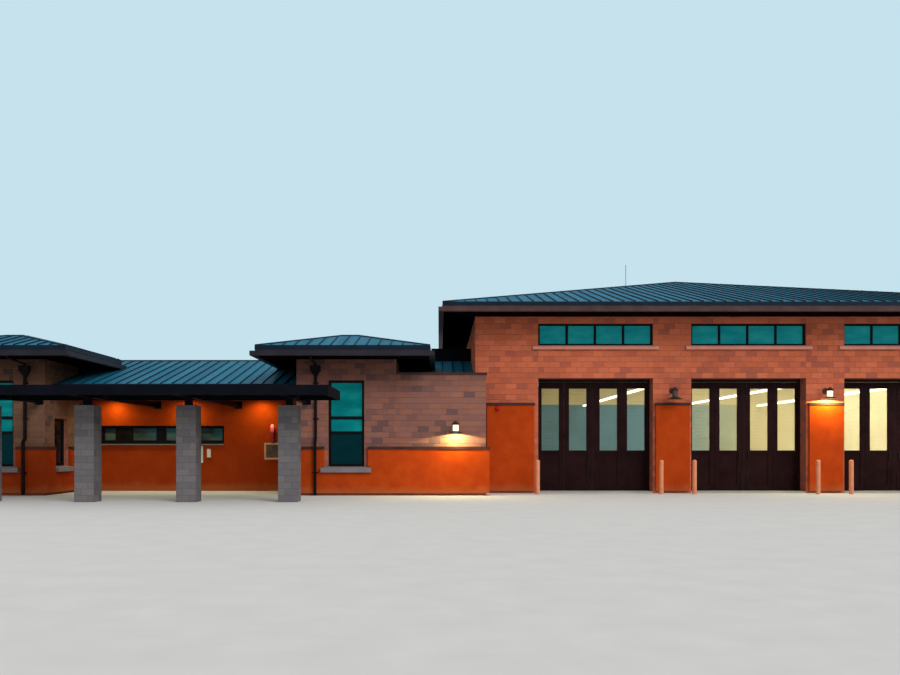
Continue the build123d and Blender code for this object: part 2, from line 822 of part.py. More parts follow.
with BuildPart() as quarters_floor:
    with BuildSketch():
        floor_left = quarters_left + wall
        floor_back = quarters_rear - wall
        with Locations(((floor_left + hall_left) / 2, (tower_back + floor_back) / 2)):
            Rectangle(hall_left - floor_left, floor_back - tower_back)
        with Locations((porch_middle, (tower_back + porch_back) / 2)):
            Rectangle(porch_right - porch_left + 2 * wall, porch_back - tower_back, mode=Mode.SUBTRACT)
        corner_front = street_line + wall
        with Locations(((low_left + hall_left) / 2, (corner_front + tower_back) / 2)):
            Rectangle(hall_left - low_left, tower_back - corner_front)
        for x in tower_centres:
            with Locations((x, tower_middle)):
                Rectangle(tower_width - 2 * wall, tower_depth - 2 * wall)
            with Locations((x, tower_back - wall / 2)):
                Rectangle(tower_arch_width, wall)
    extrude(amount=slab)

# Long gable roof over the quarters, let in round the towers
with BuildPart() as quarters_roof:
    with BuildSketch(Plane.YZ.offset(quarters_left - rake)):
        with BuildLine():
            low_front = street_line + wall
            front_drop = quarters_eave_height - (porch_eave_line - low_front) * slope
            Polyline(
                (low_front, front_drop),
                (ridge_line, ridge_height),
                (rear_eave_line, quarters_eave_height),
                (rear_eave_line, quarters_eave_height + roof_thickness),
                (ridge_line, ridge_height + roof_thickness),
                (low_front, front_drop + roof_thickness),
                close=True,
            )
        make_face()
    extrude(amount=hall_left - quarters_left + rake)
    with BuildSketch():
        tower_left_edge = quarters_left - 2 * rake
        with Locations(((tower_left_edge + porch_left) / 2, tower_middle)):
            Rectangle(porch_left - tower_left_edge, tower_depth)
        with Locations((right_tower_x, tower_middle)):
            Rectangle(tower_width, tower_depth)
        with Locations((porch_middle, street_line + porch_eave / 2)):
            Rectangle(porch_right - porch_left, porch_eave)
    extrude(amount=screen_top, mode=Mode.SUBTRACT)

# Folded cap along the quarters ridge
with BuildPart() as quarters_ridge_cap:
    with BuildSketch(Plane.YZ.offset(quarters_left - rake)):
        cap_half = ridge_cap_width / 2
        cap_base = ridge_height + roof_thickness
        with BuildLine():
            Polyline(
                (ridge_line - cap_half, cap_base - cap_half * slope),
                (ridge_line, cap_base),
                (ridge_line + cap_half, cap_base - cap_half * slope),
                (ridge_line + cap_half, cap_base - cap_half * slope + hip_cap_height),
                (ridge_line, cap_base + hip_cap_height),
                (ridge_line - cap_half, cap_base - cap_half * slope + hip_cap_height),
                close=True,
            )
        make_face()
    extrude(amount=screen_left - quarters_left + rake)

# Boxed eaves of the quarters, closed at the open gable end
with BuildPart() as quarters_eaves:
    eaves_at = (
        (porch_left, porch_right, porch_eave_line, entry_face + wall, 1),
        (quarters_left - rake, hall_left, rear_eave_line, quarters_rear - wall, -1),
    )
    for left, right, edge, bearing, inward in eaves_at:
        soffit_edge = edge + inward * fascia_thickness
        with BuildSketch(Plane.XY.offset(quarters_wall_height)):
            with Locations(((left + right) / 2, (soffit_edge + bearing) / 2)):
                Rectangle(right - left, abs(bearing - soffit_edge))
        extrude(amount=soffit_thickness)
    with BuildSketch(Plane.YZ.offset(quarters_left)):
        closer_back = rear_eave_line - fascia_thickness - mitre_gap
        closer_front = quarters_rear - wall
        closer_bottom = quarters_wall_height + soffit_thickness + mitre_gap
        with BuildLine():
            Polyline(
                (closer_front, closer_bottom),
                (closer_back, closer_bottom),
                (closer_back, roof_underside(closer_back)),
                (closer_front, roof_underside(closer_front)),
                close=True,
            )
        make_face()
    extrude(amount=fascia_thickness)

with BuildPart() as quarters_fascias:
    for left, right, edge, bearing, inward in eaves_at:
        with BuildSketch(Plane.XY.offset(quarters_wall_height)):
            with Locations(((left + right) / 2, edge + inward * fascia_thickness / 2)):
                Rectangle(right - left, fascia_thickness)
        extrude(amount=quarters_fascia_depth)

with BuildPart() as quarters_gutters:
    for left, right, edge, inward in (
        (porch_left, porch_right, porch_eave_line, 1),
        (quarters_left - rake, hall_left, rear_eave_line, -1),
    ):
        with BuildSketch(Plane.XY.offset(quarters_wall_height)):
            with Locations(((left + right) / 2, edge - inward * gutter_width / 2)):
                Rectangle(right - left, gutter_width)
        extrude(amount=gutter_height)
        with BuildSketch(Plane.XY.offset(quarters_wall_height + gutter_wall)):
            with Locations(((left + right) / 2, edge - inward * gutter_width / 2)):
                Rectangle(right - left - 2 * gutter_wall, gutter_width - 2 * gutter_wall)
        extrude(amount=gutter_height, mode=Mode.SUBTRACT)

# Screen round the roof equipment, against the hall wall
with BuildPart() as equipment_screen:
    screen_front = street_line + screen_distance
    with BuildSketch(Plane.XY.offset(quarters_eave_height)):
        with Locations(((screen_left + hall_left) / 2, screen_front + screen_depth / 2)):
            Rectangle(screen_width, screen_depth)
        with Locations(((screen_left + hall_left + screen_wall) / 2, screen_front + screen_depth / 2)):
            Rectangle(screen_width - screen_wall, screen_depth - 2 * screen_wall, mode=Mode.SUBTRACT)
    extrude(amount=screen_top - quarters_eave_height)
    add(under_quarters_roof.part, mode=Mode.SUBTRACT)

def ribbon_lights(x):
    # Sketch of the uneven panes of a ribbon window whose middle is at x
    low = ribbon_sill + ribbon_bottom_bar
    high = ribbon_head - ribbon_top_bar
    with BuildSketch() as lights:
        for start, width in ribbon_panes:
            with Locations((x - ribbon_width / 2 + start + width / 2, (low + high) / 2)):
                Rectangle(width, high - low)
    return lights.sketch


# Window frames of the towers and the two ribbon windows
with BuildPart() as window_frames:
    tower_window_height = tower_window_head - tower_window_sill
    side_window_height = side_window_head - tower_window_sill
    for x in tower_centres:
        with BuildSketch(street_plane(street_line + window_setback)):
            add(
                bar_grid(
                    x,
                    tower_window_sill,
                    tower_window_width,
                    tower_window_height,
                    tower_frame_bar,
                    1,
                    tower_transoms,
                )
            )
        extrude(amount=-frame_depth)
    with BuildSketch(Plane.YZ.offset(porch_left - window_setback)):
        add(
            bar_grid(
                side_opening_y,
                tower_window_sill,
                side_window_width,
                side_window_height,
                tower_frame_bar,
                1,
                [side_transom],
            )
        )
    extrude(amount=-frame_depth)
    for face, depth, x in (
        (entry_face + window_setback, -frame_depth, ribbon_x),
        (quarters_rear - window_setback, frame_depth, rear_ribbon_x),
    ):
        with BuildSketch(street_plane(face)):
            with Locations((x, (ribbon_sill + ribbon_head) / 2)):
                Rectangle(ribbon_width, ribbon_head - ribbon_sill)
            add(ribbon_lights(x), mode=Mode.SUBTRACT)
        extrude(amount=depth)

# Glazed entry door in the porch side of the right tower: a tube frame, a leaf and its pull
entry_leaf_width = entry_door_width - 2 * frame_bar - leaf_gap
entry_leaf_bottom = slab + floor_gap
entry_leaf_top = entry_door_height - frame_bar - leaf_gap / 2
entry_glass_bottom = entry_leaf_bottom + entry_rail
entry_glass_top = entry_leaf_top - entry_rail
with BuildPart() as entry_door_frame:
    with BuildSketch(Plane.YZ.offset(porch_right + window_setback)):
        with Locations((side_opening_y, entry_door_height / 2)):
            Rectangle(entry_door_width, entry_door_height)
        with Locations((side_opening_y, (entry_door_height - frame_bar) / 2)):
            Rectangle(entry_door_width - 2 * frame_bar, entry_door_height - frame_bar, mode=Mode.SUBTRACT)
    extrude(amount=frame_depth)

with BuildPart() as entry_door:
    leaf_street_face = porch_right + window_setback + (frame_depth - entry_stile) / 2
    with BuildSketch(Plane.YZ.offset(leaf_street_face)):
        with Locations((side_opening_y, (entry_leaf_bottom + entry_leaf_top) / 2)):
            Rectangle(entry_leaf_width, entry_leaf_top - entry_leaf_bottom)
        with Locations((side_opening_y, (entry_glass_bottom + entry_glass_top) / 2)):
            Rectangle(
                entry_leaf_width - 2 * entry_stile,
                entry_glass_top - entry_glass_bottom,
                mode=Mode.SUBTRACT,
            )
    extrude(amount=entry_stile)
    hinge_y = side_opening_y + entry_leaf_width / 2 + leaf_gap / 4
    for level in (entry_leaf_bottom + entry_rail, entry_leaf_top - entry_rail):
        with BuildSketch(Plane.XY.offset(level - hinge_length / 2)):
            with Locations((leaf_street_face + entry_stile / 2, hinge_y)):
                Rectangle(entry_stile, leaf_gap / 2)
        extrude(amount=hinge_length)
    pull_y = side_opening_y - entry_leaf_width / 2 + entry_stile / 2
    pull_middle = (entry_leaf_bottom + entry_leaf_top) / 2
    pull_x = leaf_street_face - entry_pull_reach
    with BuildSketch(Plane.XY.offset(pull_middle - entry_pull_length / 2)):
        with Locations((pull_x, pull_y)):
            Circle(entry_pull_radius)
    extrude(amount=entry_pull_length)
    with BuildSketch(Plane.YZ.offset(leaf_street_face)):
        with Locations(*[(pull_y, pull_middle + side * entry_pull_length / 3) for side in (-1, 1)]):
            Circle(entry_pull_radius / 2)
    extrude(amount=-entry_pull_reach)

# One pane in the middle of every frame opening
with BuildPart() as window_glass:
    pane_inset = (frame_depth - pane_thickness) / 2
    for x in bay_centres:
        for face, depth in (
            (hall_front + window_setback + pane_inset, -pane_thickness),
            (hall_rear - window_setback - pane_inset, pane_thickness),
        ):
            with BuildSketch(street_plane(face)):
                with Locations((x, clerestory_sill_height + clerestory_height / 2)):
                    Rectangle(bay_width - 2 * frame_bar, clerestory_height - 2 * frame_bar)
            extrude(amount=depth)
    for x in tower_centres:
        with BuildSketch(street_plane(street_line + window_setback + pane_inset)):
            with Locations((x, tower_window_sill + tower_window_height / 2)):
                Rectangle(tower_window_width - 2 * tower_frame_bar, tower_window_height - 2 * tower_frame_bar)
        extrude(amount=-pane_thickness)
    with BuildSketch(Plane.YZ.offset(porch_left - window_setback - pane_inset)):
        with Locations((side_opening_y, tower_window_sill + side_window_height / 2)):
            Rectangle(side_window_width - 2 * tower_frame_bar, side_window_height - 2 * tower_frame_bar)
    extrude(amount=-pane_thickness)
    with BuildSketch(Plane.YZ.offset(porch_right + window_setback + (frame_depth + pane_thickness) / 2)):
        with Locations((side_opening_y, (entry_glass_bottom + entry_glass_top) / 2)):
            Rectangle(entry_leaf_width - 2 * entry_stile, entry_glass_top - entry_glass_bottom)
    extrude(amount=-pane_thickness)
    for face, depth, x in (
        (entry_face + window_setback + pane_inset, -pane_thickness, ribbon_x),
        (quarters_rear - window_setback - pane_inset, pane_thickness, rear_ribbon_x),
    ):
        with BuildSketch(street_plane(face)):
            add(ribbon_lights(x))
        extrude(amount=depth)
    add(clerestory_frames.part, mode=Mode.SUBTRACT)
    add(window_frames.part, mode=Mode.SUBTRACT)



def precast_sill(place, length, height, projection):
    # Sill with a sloped top, along the local X of its place and standing out to -Y
    with BuildPart() as sill:
        with BuildSketch(Plane.YZ.offset(-length / 2)):
            with BuildLine():
                Polyline(
                    (0, 0),
                    (0, -height),
                    (-projection, -height),
                    (-projection, -sill_wash),
                    close=True,
                )
            make_face()
        extrude(amount=length)
    return sill.part.moved(place)


# Precast sills under the windows, and thin metal ones under the two ribbon windows
with BuildPart() as window_sills:
    clerestory_sill_length = bay_width + 2 * clerestory_sill_overhang
    for x in bay_centres:
        for face, turn in ((hall_front, 0), (hall_rear, 180)):
            place = Location((x, face, clerestory_sill_height), (0, 0, turn))
            add(precast_sill(place, clerestory_sill_length, clerestory_sill_depth, sill_projection))
    tower_sill_reach = stucco_depth + sill_projection
    for x in tower_centres:
        place = Location((x, street_line, tower_window_sill))
        add(precast_sill(place, tower_sill_width, course, tower_sill_reach))
    place = Location((porch_left, side_opening_y, tower_window_sill), (0, 0, 90))
    add(precast_sill(place, side_sill_width, course, tower_sill_reach))
    for face, x, amount in (
        (entry_face, ribbon_x, ribbon_sill_projection),
        (quarters_rear, rear_ribbon_x, -ribbon_sill_projection),
    ):
        with BuildSketch(street_plane(face)):
            with Locations((x, ribbon_sill - ribbon_sill_thickness / 2)):
                Rectangle(ribbon_width, ribbon_sill_thickness)
        extrude(amount=amount)

# Canopy: block columns, steel posts and beams, purlins, deck and edge channel
column_y = street_line - column_centre
canopy_front_line = street_line - canopy_front
canopy_back_line = street_line - canopy_back
column_middle = porch_middle + column_shift
column_xs = [column_middle + (i - (column_count - 1) / 2) * column_pitch for i in range(column_count)]
beam_bottom = column_height + post_plate_thickness + post_height
beam_top = beam_bottom + beam_height
canopy_left = column_xs[0] - canopy_side
canopy_right = column_xs[-1] + canopy_side
canopy_middle = (canopy_left + canopy_right) / 2
canopy_depth = canopy_back_line - canopy_front_line

with BuildPart() as canopy_columns:
    with BuildSketch():
        with Locations(*[(x, column_y) for x in column_xs]):
            Rectangle(column_size, column_size)
    extrude(amount=column_height)

with BuildPart() as canopy_posts:
    with BuildSketch(Plane.XY.offset(column_height)):
        with Locations(*[(x, column_y) for x in column_xs]):
            Rectangle(post_plate, post_plate)
    extrude(amount=post_plate_thickness)
    with BuildSketch(Plane.XY.offset(column_height + post_plate_thickness)):
        with Locations(*[(x, column_y) for x in column_xs]):
            Rectangle(post_size, post_size)
    extrude(amount=post_height)

# Wide-flange beams: the outer two end on the tower fronts, the inner two on the entry wall
with BuildPart() as canopy_beams:
    for x in column_xs:
        end = entry_face if porch_left < x < porch_right else street_line
        start = canopy_front_line + canopy_fascia_thickness
        with BuildSketch(street_plane(end)):
            with Locations((x, beam_bottom + beam_height / 2)):
                Rectangle(beam_width, beam_height)
            side = (beam_width - beam_web) / 2
            for direction in (-1, 1):
                with Locations((x + direction * (beam_web + side) / 2, beam_bottom + beam_height / 2)):
                    Rectangle(side, beam_height - 2 * beam_web, mode=Mode.SUBTRACT)
        extrude(amount=end - start)

with BuildPart() as canopy_purlins:
    span = canopy_right - canopy_left - 2 * canopy_fascia_thickness
    room = canopy_depth - 2 * canopy_fascia_thickness - purlin_size
    with BuildSketch(Plane.XY.offset(beam_top)):
        for i in range(purlin_count):
            y = canopy_front_line + canopy_fascia_thickness + purlin_size / 2
            y += (i + 0.5) * room / purlin_count
            with Locations((canopy_middle, y)):
                Rectangle(span, purlin_size)
    extrude(amount=purlin_size)

with BuildPart() as canopy_deck:
    deck_edges = [canopy_left + canopy_fascia_thickness]
    for x in column_xs:
        deck_edges += [x - beam_width / 2 - deck_slot, x + beam_width / 2 + deck_slot]
    deck_edges += [canopy_right - canopy_fascia_thickness]
    with BuildSketch(Plane.XY.offset(beam_top + purlin_size)):
        for left, right in zip(deck_edges[0::2], deck_edges[1::2]):
            with Locations(((left + right) / 2, (canopy_front_line + canopy_back_line) / 2)):
                Rectangle(right - left, canopy_depth - 2 * canopy_fascia_thickness)
    extrude(amount=deck_thickness)

# Edge channel round the deck, web outwards, its flanges under the beams and over the deck
with BuildPart() as canopy_fascia:
    centre_y = (canopy_front_line + canopy_back_line) / 2
    canopy_width = canopy_right - canopy_left
    channel_bottom = beam_bottom - canopy_fascia_thickness
    channel_top = beam_top + purlin_size + deck_thickness + canopy_fascia_thickness
    for level, height, inset in (
        (channel_bottom, channel_top - channel_bottom, canopy_fascia_thickness),
        (channel_bottom, canopy_fascia_thickness, canopy_fascia_flange),
        (channel_top - canopy_fascia_thickness, canopy_fascia_thickness, canopy_fascia_flange),
    ):
        with BuildSketch(Plane.XY.offset(level)):
            with Locations((canopy_middle, centre_y)):
                Rectangle(canopy_width, canopy_depth)
                Rectangle(canopy_width - 2 * inset, canopy_depth - 2 * inset, mode=Mode.SUBTRACT)
        extrude(amount=height)
    with BuildSketch(street_plane(canopy_back_line)):
        for x in column_xs:
            with Locations((x, beam_bottom + beam_height / 2)):
                Rectangle(beam_width, beam_height)
    extrude(amount=canopy_fascia_thickness, mode=Mode.SUBTRACT)

# Barn lights on the bay piers and the low wall: plate, arm, cap, stem and dished shade
lamp_places = [
    (-bay_pitch / 2, hall_front, lamp_rim_height),
    (bay_pitch / 2, hall_front, lamp_rim_height),
    (low_wall_end - low_wall_lamp_inset, street_line, low_wall_lamp_rim_height),
]
jar_bottom = lamp_shade_height
jar_top = jar_bottom + lamp_jar_height
lamp_arm_rise = jar_top + lamp_cap_shoulder / 2
lamp_axis_distance = lamp_plate_thickness + lamp_reach
with BuildPart() as wall_lamps:
    for x, face, rim in lamp_places:
        with BuildSketch(street_plane(face)):
            with Locations((x, rim + lamp_arm_rise)):
                Circle(lamp_plate_radius)
        extrude(amount=lamp_plate_thickness)
        with BuildSketch(street_plane(face - lamp_plate_thickness)):
            with Locations((x, rim + lamp_arm_rise)):
                RegularPolygon(lamp_arm_radius, lamp_arm_sides)
        extrude(amount=lamp_reach)
        axis_y = face - lamp_axis_distance
        with BuildSketch(Plane(origin=(x, axis_y, rim), x_dir=(1, 0, 0), z_dir=(0, -1, 0))):
            with BuildLine():
                Polyline(
                    (lamp_shade_radius, 0),
                    (lamp_jar_radius, jar_bottom),
                    (lamp_stem_radius, jar_bottom),
                    (lamp_stem_radius, jar_top),
                    (lamp_cap_radius, jar_top),
                    (lamp_cap_radius, jar_top + lamp_cap_shoulder),
                    (lamp_stem_radius, jar_top + lamp_cap_height),
                    (0, jar_top + lamp_cap_height),
                    (0, jar_bottom - lamp_shade_wall),
                    (lamp_jar_radius - lamp_shade_wall, jar_bottom - lamp_shade_wall),
                    (lamp_shade_radius - lamp_shade_wall, 0),
                    close=True,
                )
            make_face()
        revolve(axis=Axis((x, axis_y, rim), (0, 0, 1)))

# Glass jar of each lamp, between its shade and cap
with BuildPart() as lamp_glass:
    for x, face, rim in lamp_places:
        with BuildSketch(Plane.XY.offset(rim + jar_bottom)):
            with Locations((x, face - lamp_axis_distance)):
                Circle(lamp_jar_radius)
                Circle(lamp_jar_radius - lamp_jar_wall, mode=Mode.SUBTRACT)
        extrude(amount=lamp_jar_height)

# Alarm bell on the left end panel: a mount, and a gong with a rounded rim
with BuildPart() as alarm_bell:
    bell_face = hall_front - stucco_depth
    bell_x = hall_left + bell_inset
    with BuildSketch(street_plane(bell_face)):
        with Locations((bell_x, bell_height)):
            Circle(bell_mount_radius)
    extrude(amount=bell_mount_depth)
    with BuildSketch(street_plane(bell_face - bell_mount_depth)):
        with Locations((bell_x, bell_height)):
            Circle(bell_radius)
    extrude(amount=bell_depth, taper=25)

# Warning beacon over a framed plaque on the porch wall
with BuildPart() as beacon:
    beacon_x = porch_right - beacon_from_porch_edge
    beacon_bottom = plaque_bottom + plaque_height + beacon_gap
    with BuildSketch(street_plane(entry_face)):
        with Locations((beacon_x, beacon_bottom + beacon_body_height / 2)):
            Rectangle(beacon_body_width, beacon_body_height)
    extrude(amount=beacon_body_depth)
    dome_bottom = beacon_bottom + beacon_body_height
    dome_y = entry_face - beacon_body_depth / 2
    with BuildSketch(Plane.XY.offset(dome_bottom)):
        with Locations((beacon_x, dome_y)):
            Circle(beacon_dome_radius)
    extrude(amount=beacon_dome_radius)
    with BuildSketch(Plane.XY.offset(dome_bottom + beacon_dome_radius)):
        with Locations((beacon_x, dome_y)):
            Circle(beacon_dome_radius)
    extrude(amount=beacon_dome_radius, taper=30)

with BuildPart() as plaque:
    with BuildSketch(street_plane(entry_face)):
        with Locations((beacon_x, plaque_bottom + plaque_height / 2)):
            Rectangle(plaque_width, plaque_height)
    extrude(amount=plaque_thickness)
    with BuildSketch(street_plane(entry_face - plaque_thickness)):
        with Locations((beacon_x, plaque_bottom + plaque_height / 2)):
            Rectangle(plaque_width - 2 * plaque_rim, plaque_height - 2 * plaque_rim)
    extrude(amount=-plaque_recess, mode=Mode.SUBTRACT)

# Round downlights under the porch soffit and strip lights under the hall ceiling
with BuildPart() as soffit_downlights:
    with BuildSketch(Plane.XY.offset(quarters_wall_height)):
        for i in range(downlight_count):
            light_x = porch_middle + (i - (downlight_count - 1) / 2) * downlight_pitch
            with Locations((light_x, entry_face - downlight_from_wall)):
                Circle(downlight_radius)
    extrude(amount=-downlight_depth)

with BuildPart() as strip_lights:
    with BuildSketch(Plane.XY.offset(hall_wall_height - ceiling_thickness)):
        for x in bay_centres:
            for side in (-0.5, 0.5):
                for row in range(strip_light_rows):
                    row_y = (row - (strip_light_rows - 1) / 2) * strip_light_row_pitch
                    with Locations((x + side * strip_light_spacing, row_y)):
                        Rectangle(strip_light_width, strip_light_length)
    extrude(amount=-strip_light_depth)

# Downspouts: an outlet from the gutter, a leader head and a pipe that jogs over the low band
with BuildPart() as tower_downspouts:
    for x in tower_centres:
        spout_x = x + porch_side[x] * (tower_half - downspout_inset)
        gutter_y = street_line - overhang - gutter_width / 2
        head_y = street_line - leader_depth / 2
        with BuildSketch(Plane.XY.offset(leader_top - leader_box_height)):
            with Locations((spout_x, head_y)):
                Rectangle(leader_width, leader_depth)
        extrude(amount=leader_box_height)
        taper_bottom = leader_top - leader_box_height - leader_taper_height
        pipe_y = street_line - downspout_gap - downspout_size / 2
        with BuildSketch(Plane.XY.offset(leader_top - leader_box_height)):
            with Locations((spout_x, head_y)):
                Rectangle(leader_width, leader_depth)
        with BuildSketch(Plane.XY.offset(taper_bottom)):
            with Locations((spout_x, pipe_y)):
                Rectangle(downspout_size, downspout_size)
        loft()
        jog_y = street_line - stucco_depth - cap_projection - downspout_gap - downspout_size / 2
        jog_z = wainscot_height + cap_height + jog_above_cap
        with BuildLine() as pipe_line:
            Polyline(
                (spout_x, pipe_y, taper_bottom),
                (spout_x, pipe_y, jog_z + pipe_y - jog_y),
                (spout_x, jog_y, jog_z),
                (spout_x, jog_y, downspout_foot),
            )
        with BuildSketch(Plane(origin=(spout_x, pipe_y, taper_bottom), x_dir=(1, 0, 0), z_dir=(0, 0, -1))):
            Rectangle(downspout_size, downspout_size)
        sweep(path=pipe_line.wire(), transition=Transition.RIGHT)
        with BuildLine() as outlet_line:
            Polyline(
                (spout_x, gutter_y, tower_wall_height),
                (spout_x, gutter_y, tower_wall_height - outlet_drop),
                (spout_x, head_y, leader_top + outlet_drop),
                (spout_x, head_y, leader_top),
            )
        outlet_top = (spout_x, gutter_y, tower_wall_height)
        with BuildSketch(Plane(origin=outlet_top, x_dir=(1, 0, 0), z_dir=(0, 0, -1))):
            RegularPolygon(outlet_radius, outlet_sides)
        sweep(path=outlet_line.wire(), transition=Transition.RIGHT)

# Bollards at the jambs of each bay
with BuildPart() as bollards:
    bollard_y = hall_front - bollard_distance
    for x in bay_centres:
        for direction in (-1, 1):
            post_x = x + direction * (bay_width / 2 + bollard_jamb_gap)
            with BuildSketch():
                with Locations((post_x, bollard_y)):
                    Circle(bollard_radius)
            extrude(amount=bollard_height)
    chamfer(bollards.faces().sort_by(Axis.Z)[-2 * bay_count:].edges(), bollard_radius * 0.4)

with BuildPart() as roof_mast:
    mast_base = hall_roof_base + roof_thickness + (hall_half_x + overhang + mast_x) * slope
    with BuildSketch(Plane.XY.offset(mast_base - mast_radius)):
        with Locations((mast_x, 0)):
            Circle(mast_radius)
    extrude(amount=mast_top - mast_base + mast_radius)
    add(hall_roof, mode=Mode.SUBTRACT)

pieces = {
    "hall_floor": hall_floor.part,
    "hall_front_wall": hall_front_wall.part,
    "hall_rear_wall": hall_rear_wall.part,
    "hall_side_walls": hall_side_walls.part,
    "hall_ceiling": hall_ceiling.part,
    "pilaster_panels": pilaster_panels.part,
    "clerestory_frames": clerestory_frames.part,
    "bay_door_frames": bay_door_frames.part,
    "bay_door_left": door_parts[0],
    "bay_door_middle": door_parts[1],
    "bay_door_right": door_parts[2],
    "bay_door_hinges": bay_door_hinges.part,
    "bay_door_glass": bay_door_glass.part,
    "hall_eaves": hall_eaves,
    "hall_fascia": hall_fascia,
    "hall_gutter": hall_gutter,
    "hall_roof": hall_roof,
    "hall_hip_caps": hall_hip_caps,
    "tower_walls": tower_walls.part,
    "tower_eaves": tower_eaves.part,
    "tower_fascias": tower_fascias.part,
    "tower_gutters": tower_gutters.part,
    "tower_roofs": tower_roofs.part,
    "tower_hip_caps": tower_hip_caps.part,
    "low_wall": low_wall.part,
    "low_wall_coping": low_wall_coping.part,
    "wainscot": wainscot.part,
    "stucco_caps": stucco_caps.part,
    "entry_wall": entry_wall.part,
    "quarters_walls": quarters_walls.part,
    "quarters_floor": quarters_floor.part,
    "quarters_roof": quarters_roof.part,
    "quarters_ridge_cap": quarters_ridge_cap.part,
    "quarters_eaves": quarters_eaves.part,
    "quarters_fascias": quarters_fascias.part,
    "quarters_gutters": quarters_gutters.part,
    "equipment_screen": equipment_screen.part,
    "window_frames": window_frames.part,
    "entry_door_frame": entry_door_frame.part,
    "entry_door": entry_door.part,
    "window_glass": window_glass.part,
    "window_sills": window_sills.part,
    "canopy_columns": canopy_columns.part,
    "canopy_posts": canopy_posts.part,
    "canopy_beams": canopy_beams.part,
    "canopy_purlins": canopy_purlins.part,
    "canopy_deck": canopy_deck.part,
    "canopy_fascia": canopy_fascia.part,
    "tower_downspouts": tower_downspouts.part,
    "wall_lamps": wall_lamps.part,
    "lamp_glass": lamp_glass.part,
    "alarm_bell": alarm_bell.part,
    "beacon": beacon.part,
    "plaque": plaque.part,
    "soffit_downlights": soffit_downlights.part,
    "strip_lights": strip_lights.part,
    "bollards": bollards.part,
    "roof_mast": roof_mast.part,
}
for name, piece in pieces.items():
    piece.label = name
    export_step(piece, f"parts/{name}.step")
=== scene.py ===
# A fire station at half size: a three-bay apparatus hall under a square hip roof, low crew quarters,
# two small towers and a steel porch canopy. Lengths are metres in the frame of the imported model.
import math

import bmesh
import bpy
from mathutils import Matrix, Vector


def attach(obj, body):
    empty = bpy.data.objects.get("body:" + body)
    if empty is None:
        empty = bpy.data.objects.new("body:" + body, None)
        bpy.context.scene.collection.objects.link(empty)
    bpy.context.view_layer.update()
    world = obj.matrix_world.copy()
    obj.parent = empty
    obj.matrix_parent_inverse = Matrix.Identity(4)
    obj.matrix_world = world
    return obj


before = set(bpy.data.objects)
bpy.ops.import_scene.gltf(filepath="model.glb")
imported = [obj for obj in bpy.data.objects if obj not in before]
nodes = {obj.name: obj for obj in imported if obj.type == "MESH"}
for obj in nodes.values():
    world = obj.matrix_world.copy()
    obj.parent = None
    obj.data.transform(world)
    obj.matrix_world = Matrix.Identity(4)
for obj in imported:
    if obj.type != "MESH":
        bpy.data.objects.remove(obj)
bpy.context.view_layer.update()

# CONCRETE BLOCK WALLS
# Blocks of 16 by 8 inches at half size, in running bond with raked mortar joints. Each block face
# is a bevelled piece bedded 2 mm into the wall and 3 mm proud, cut where it meets a corner.
course = 0.1016
block_length = 0.2032
joint = 0.005
proud = 0.003
bedded = 0.002
arris = 0.0016
hall_half = 5.08
street_line = -5.895
tower_back = -4.455
entry_face = -4.2924
side_opening_y = -5.26
towers = {"left": (-14.4675, -12.7125), "right": (-8.27, -6.515)}
porch_west, porch_east = towers["left"][1], towers["right"][0]
band_top = 0.80


def colour(red, green, blue):
    # Screen values from 0 to 255, turned to the linear scale that shaders use
    scaled = [part / 255 for part in (red, green, blue)]
    return tuple(part / 12.92 if part < 0.04 else ((part + 0.055) / 1.055) ** 2.4 for part in scaled) + (1.0,)


class Network:
    # Adds shader nodes to one tree. A value is a number, a colour or the output of another node.
    def __init__(self, tree):
        self.tree = tree

    def plug(self, socket, value):
        if isinstance(value, bpy.types.NodeSocket):
            self.tree.links.new(value, socket)
        else:
            socket.default_value = value

    def node(self, kind, values=(), **settings):
        made = self.tree.nodes.new("ShaderNode" + kind)
        for key, value in settings.items():
            setattr(made, key, value)
        for socket, value in values:
            self.plug(made.inputs[socket], value)
        return made

    def maths(self, operation, *values):
        return self.node("Math", enumerate(values), operation=operation).outputs[0]

    def above(self, value, limit):
        return self.maths("GREATER_THAN", value, limit)

    def below(self, value, limit):
        return self.maths("LESS_THAN", value, limit)

    def mix(self, factor, first, second, way="MIX"):
        values = [(0, factor), (6, first), (7, second)]
        return self.node("Mix", values, data_type="RGBA", blend_type=way).outputs[2]


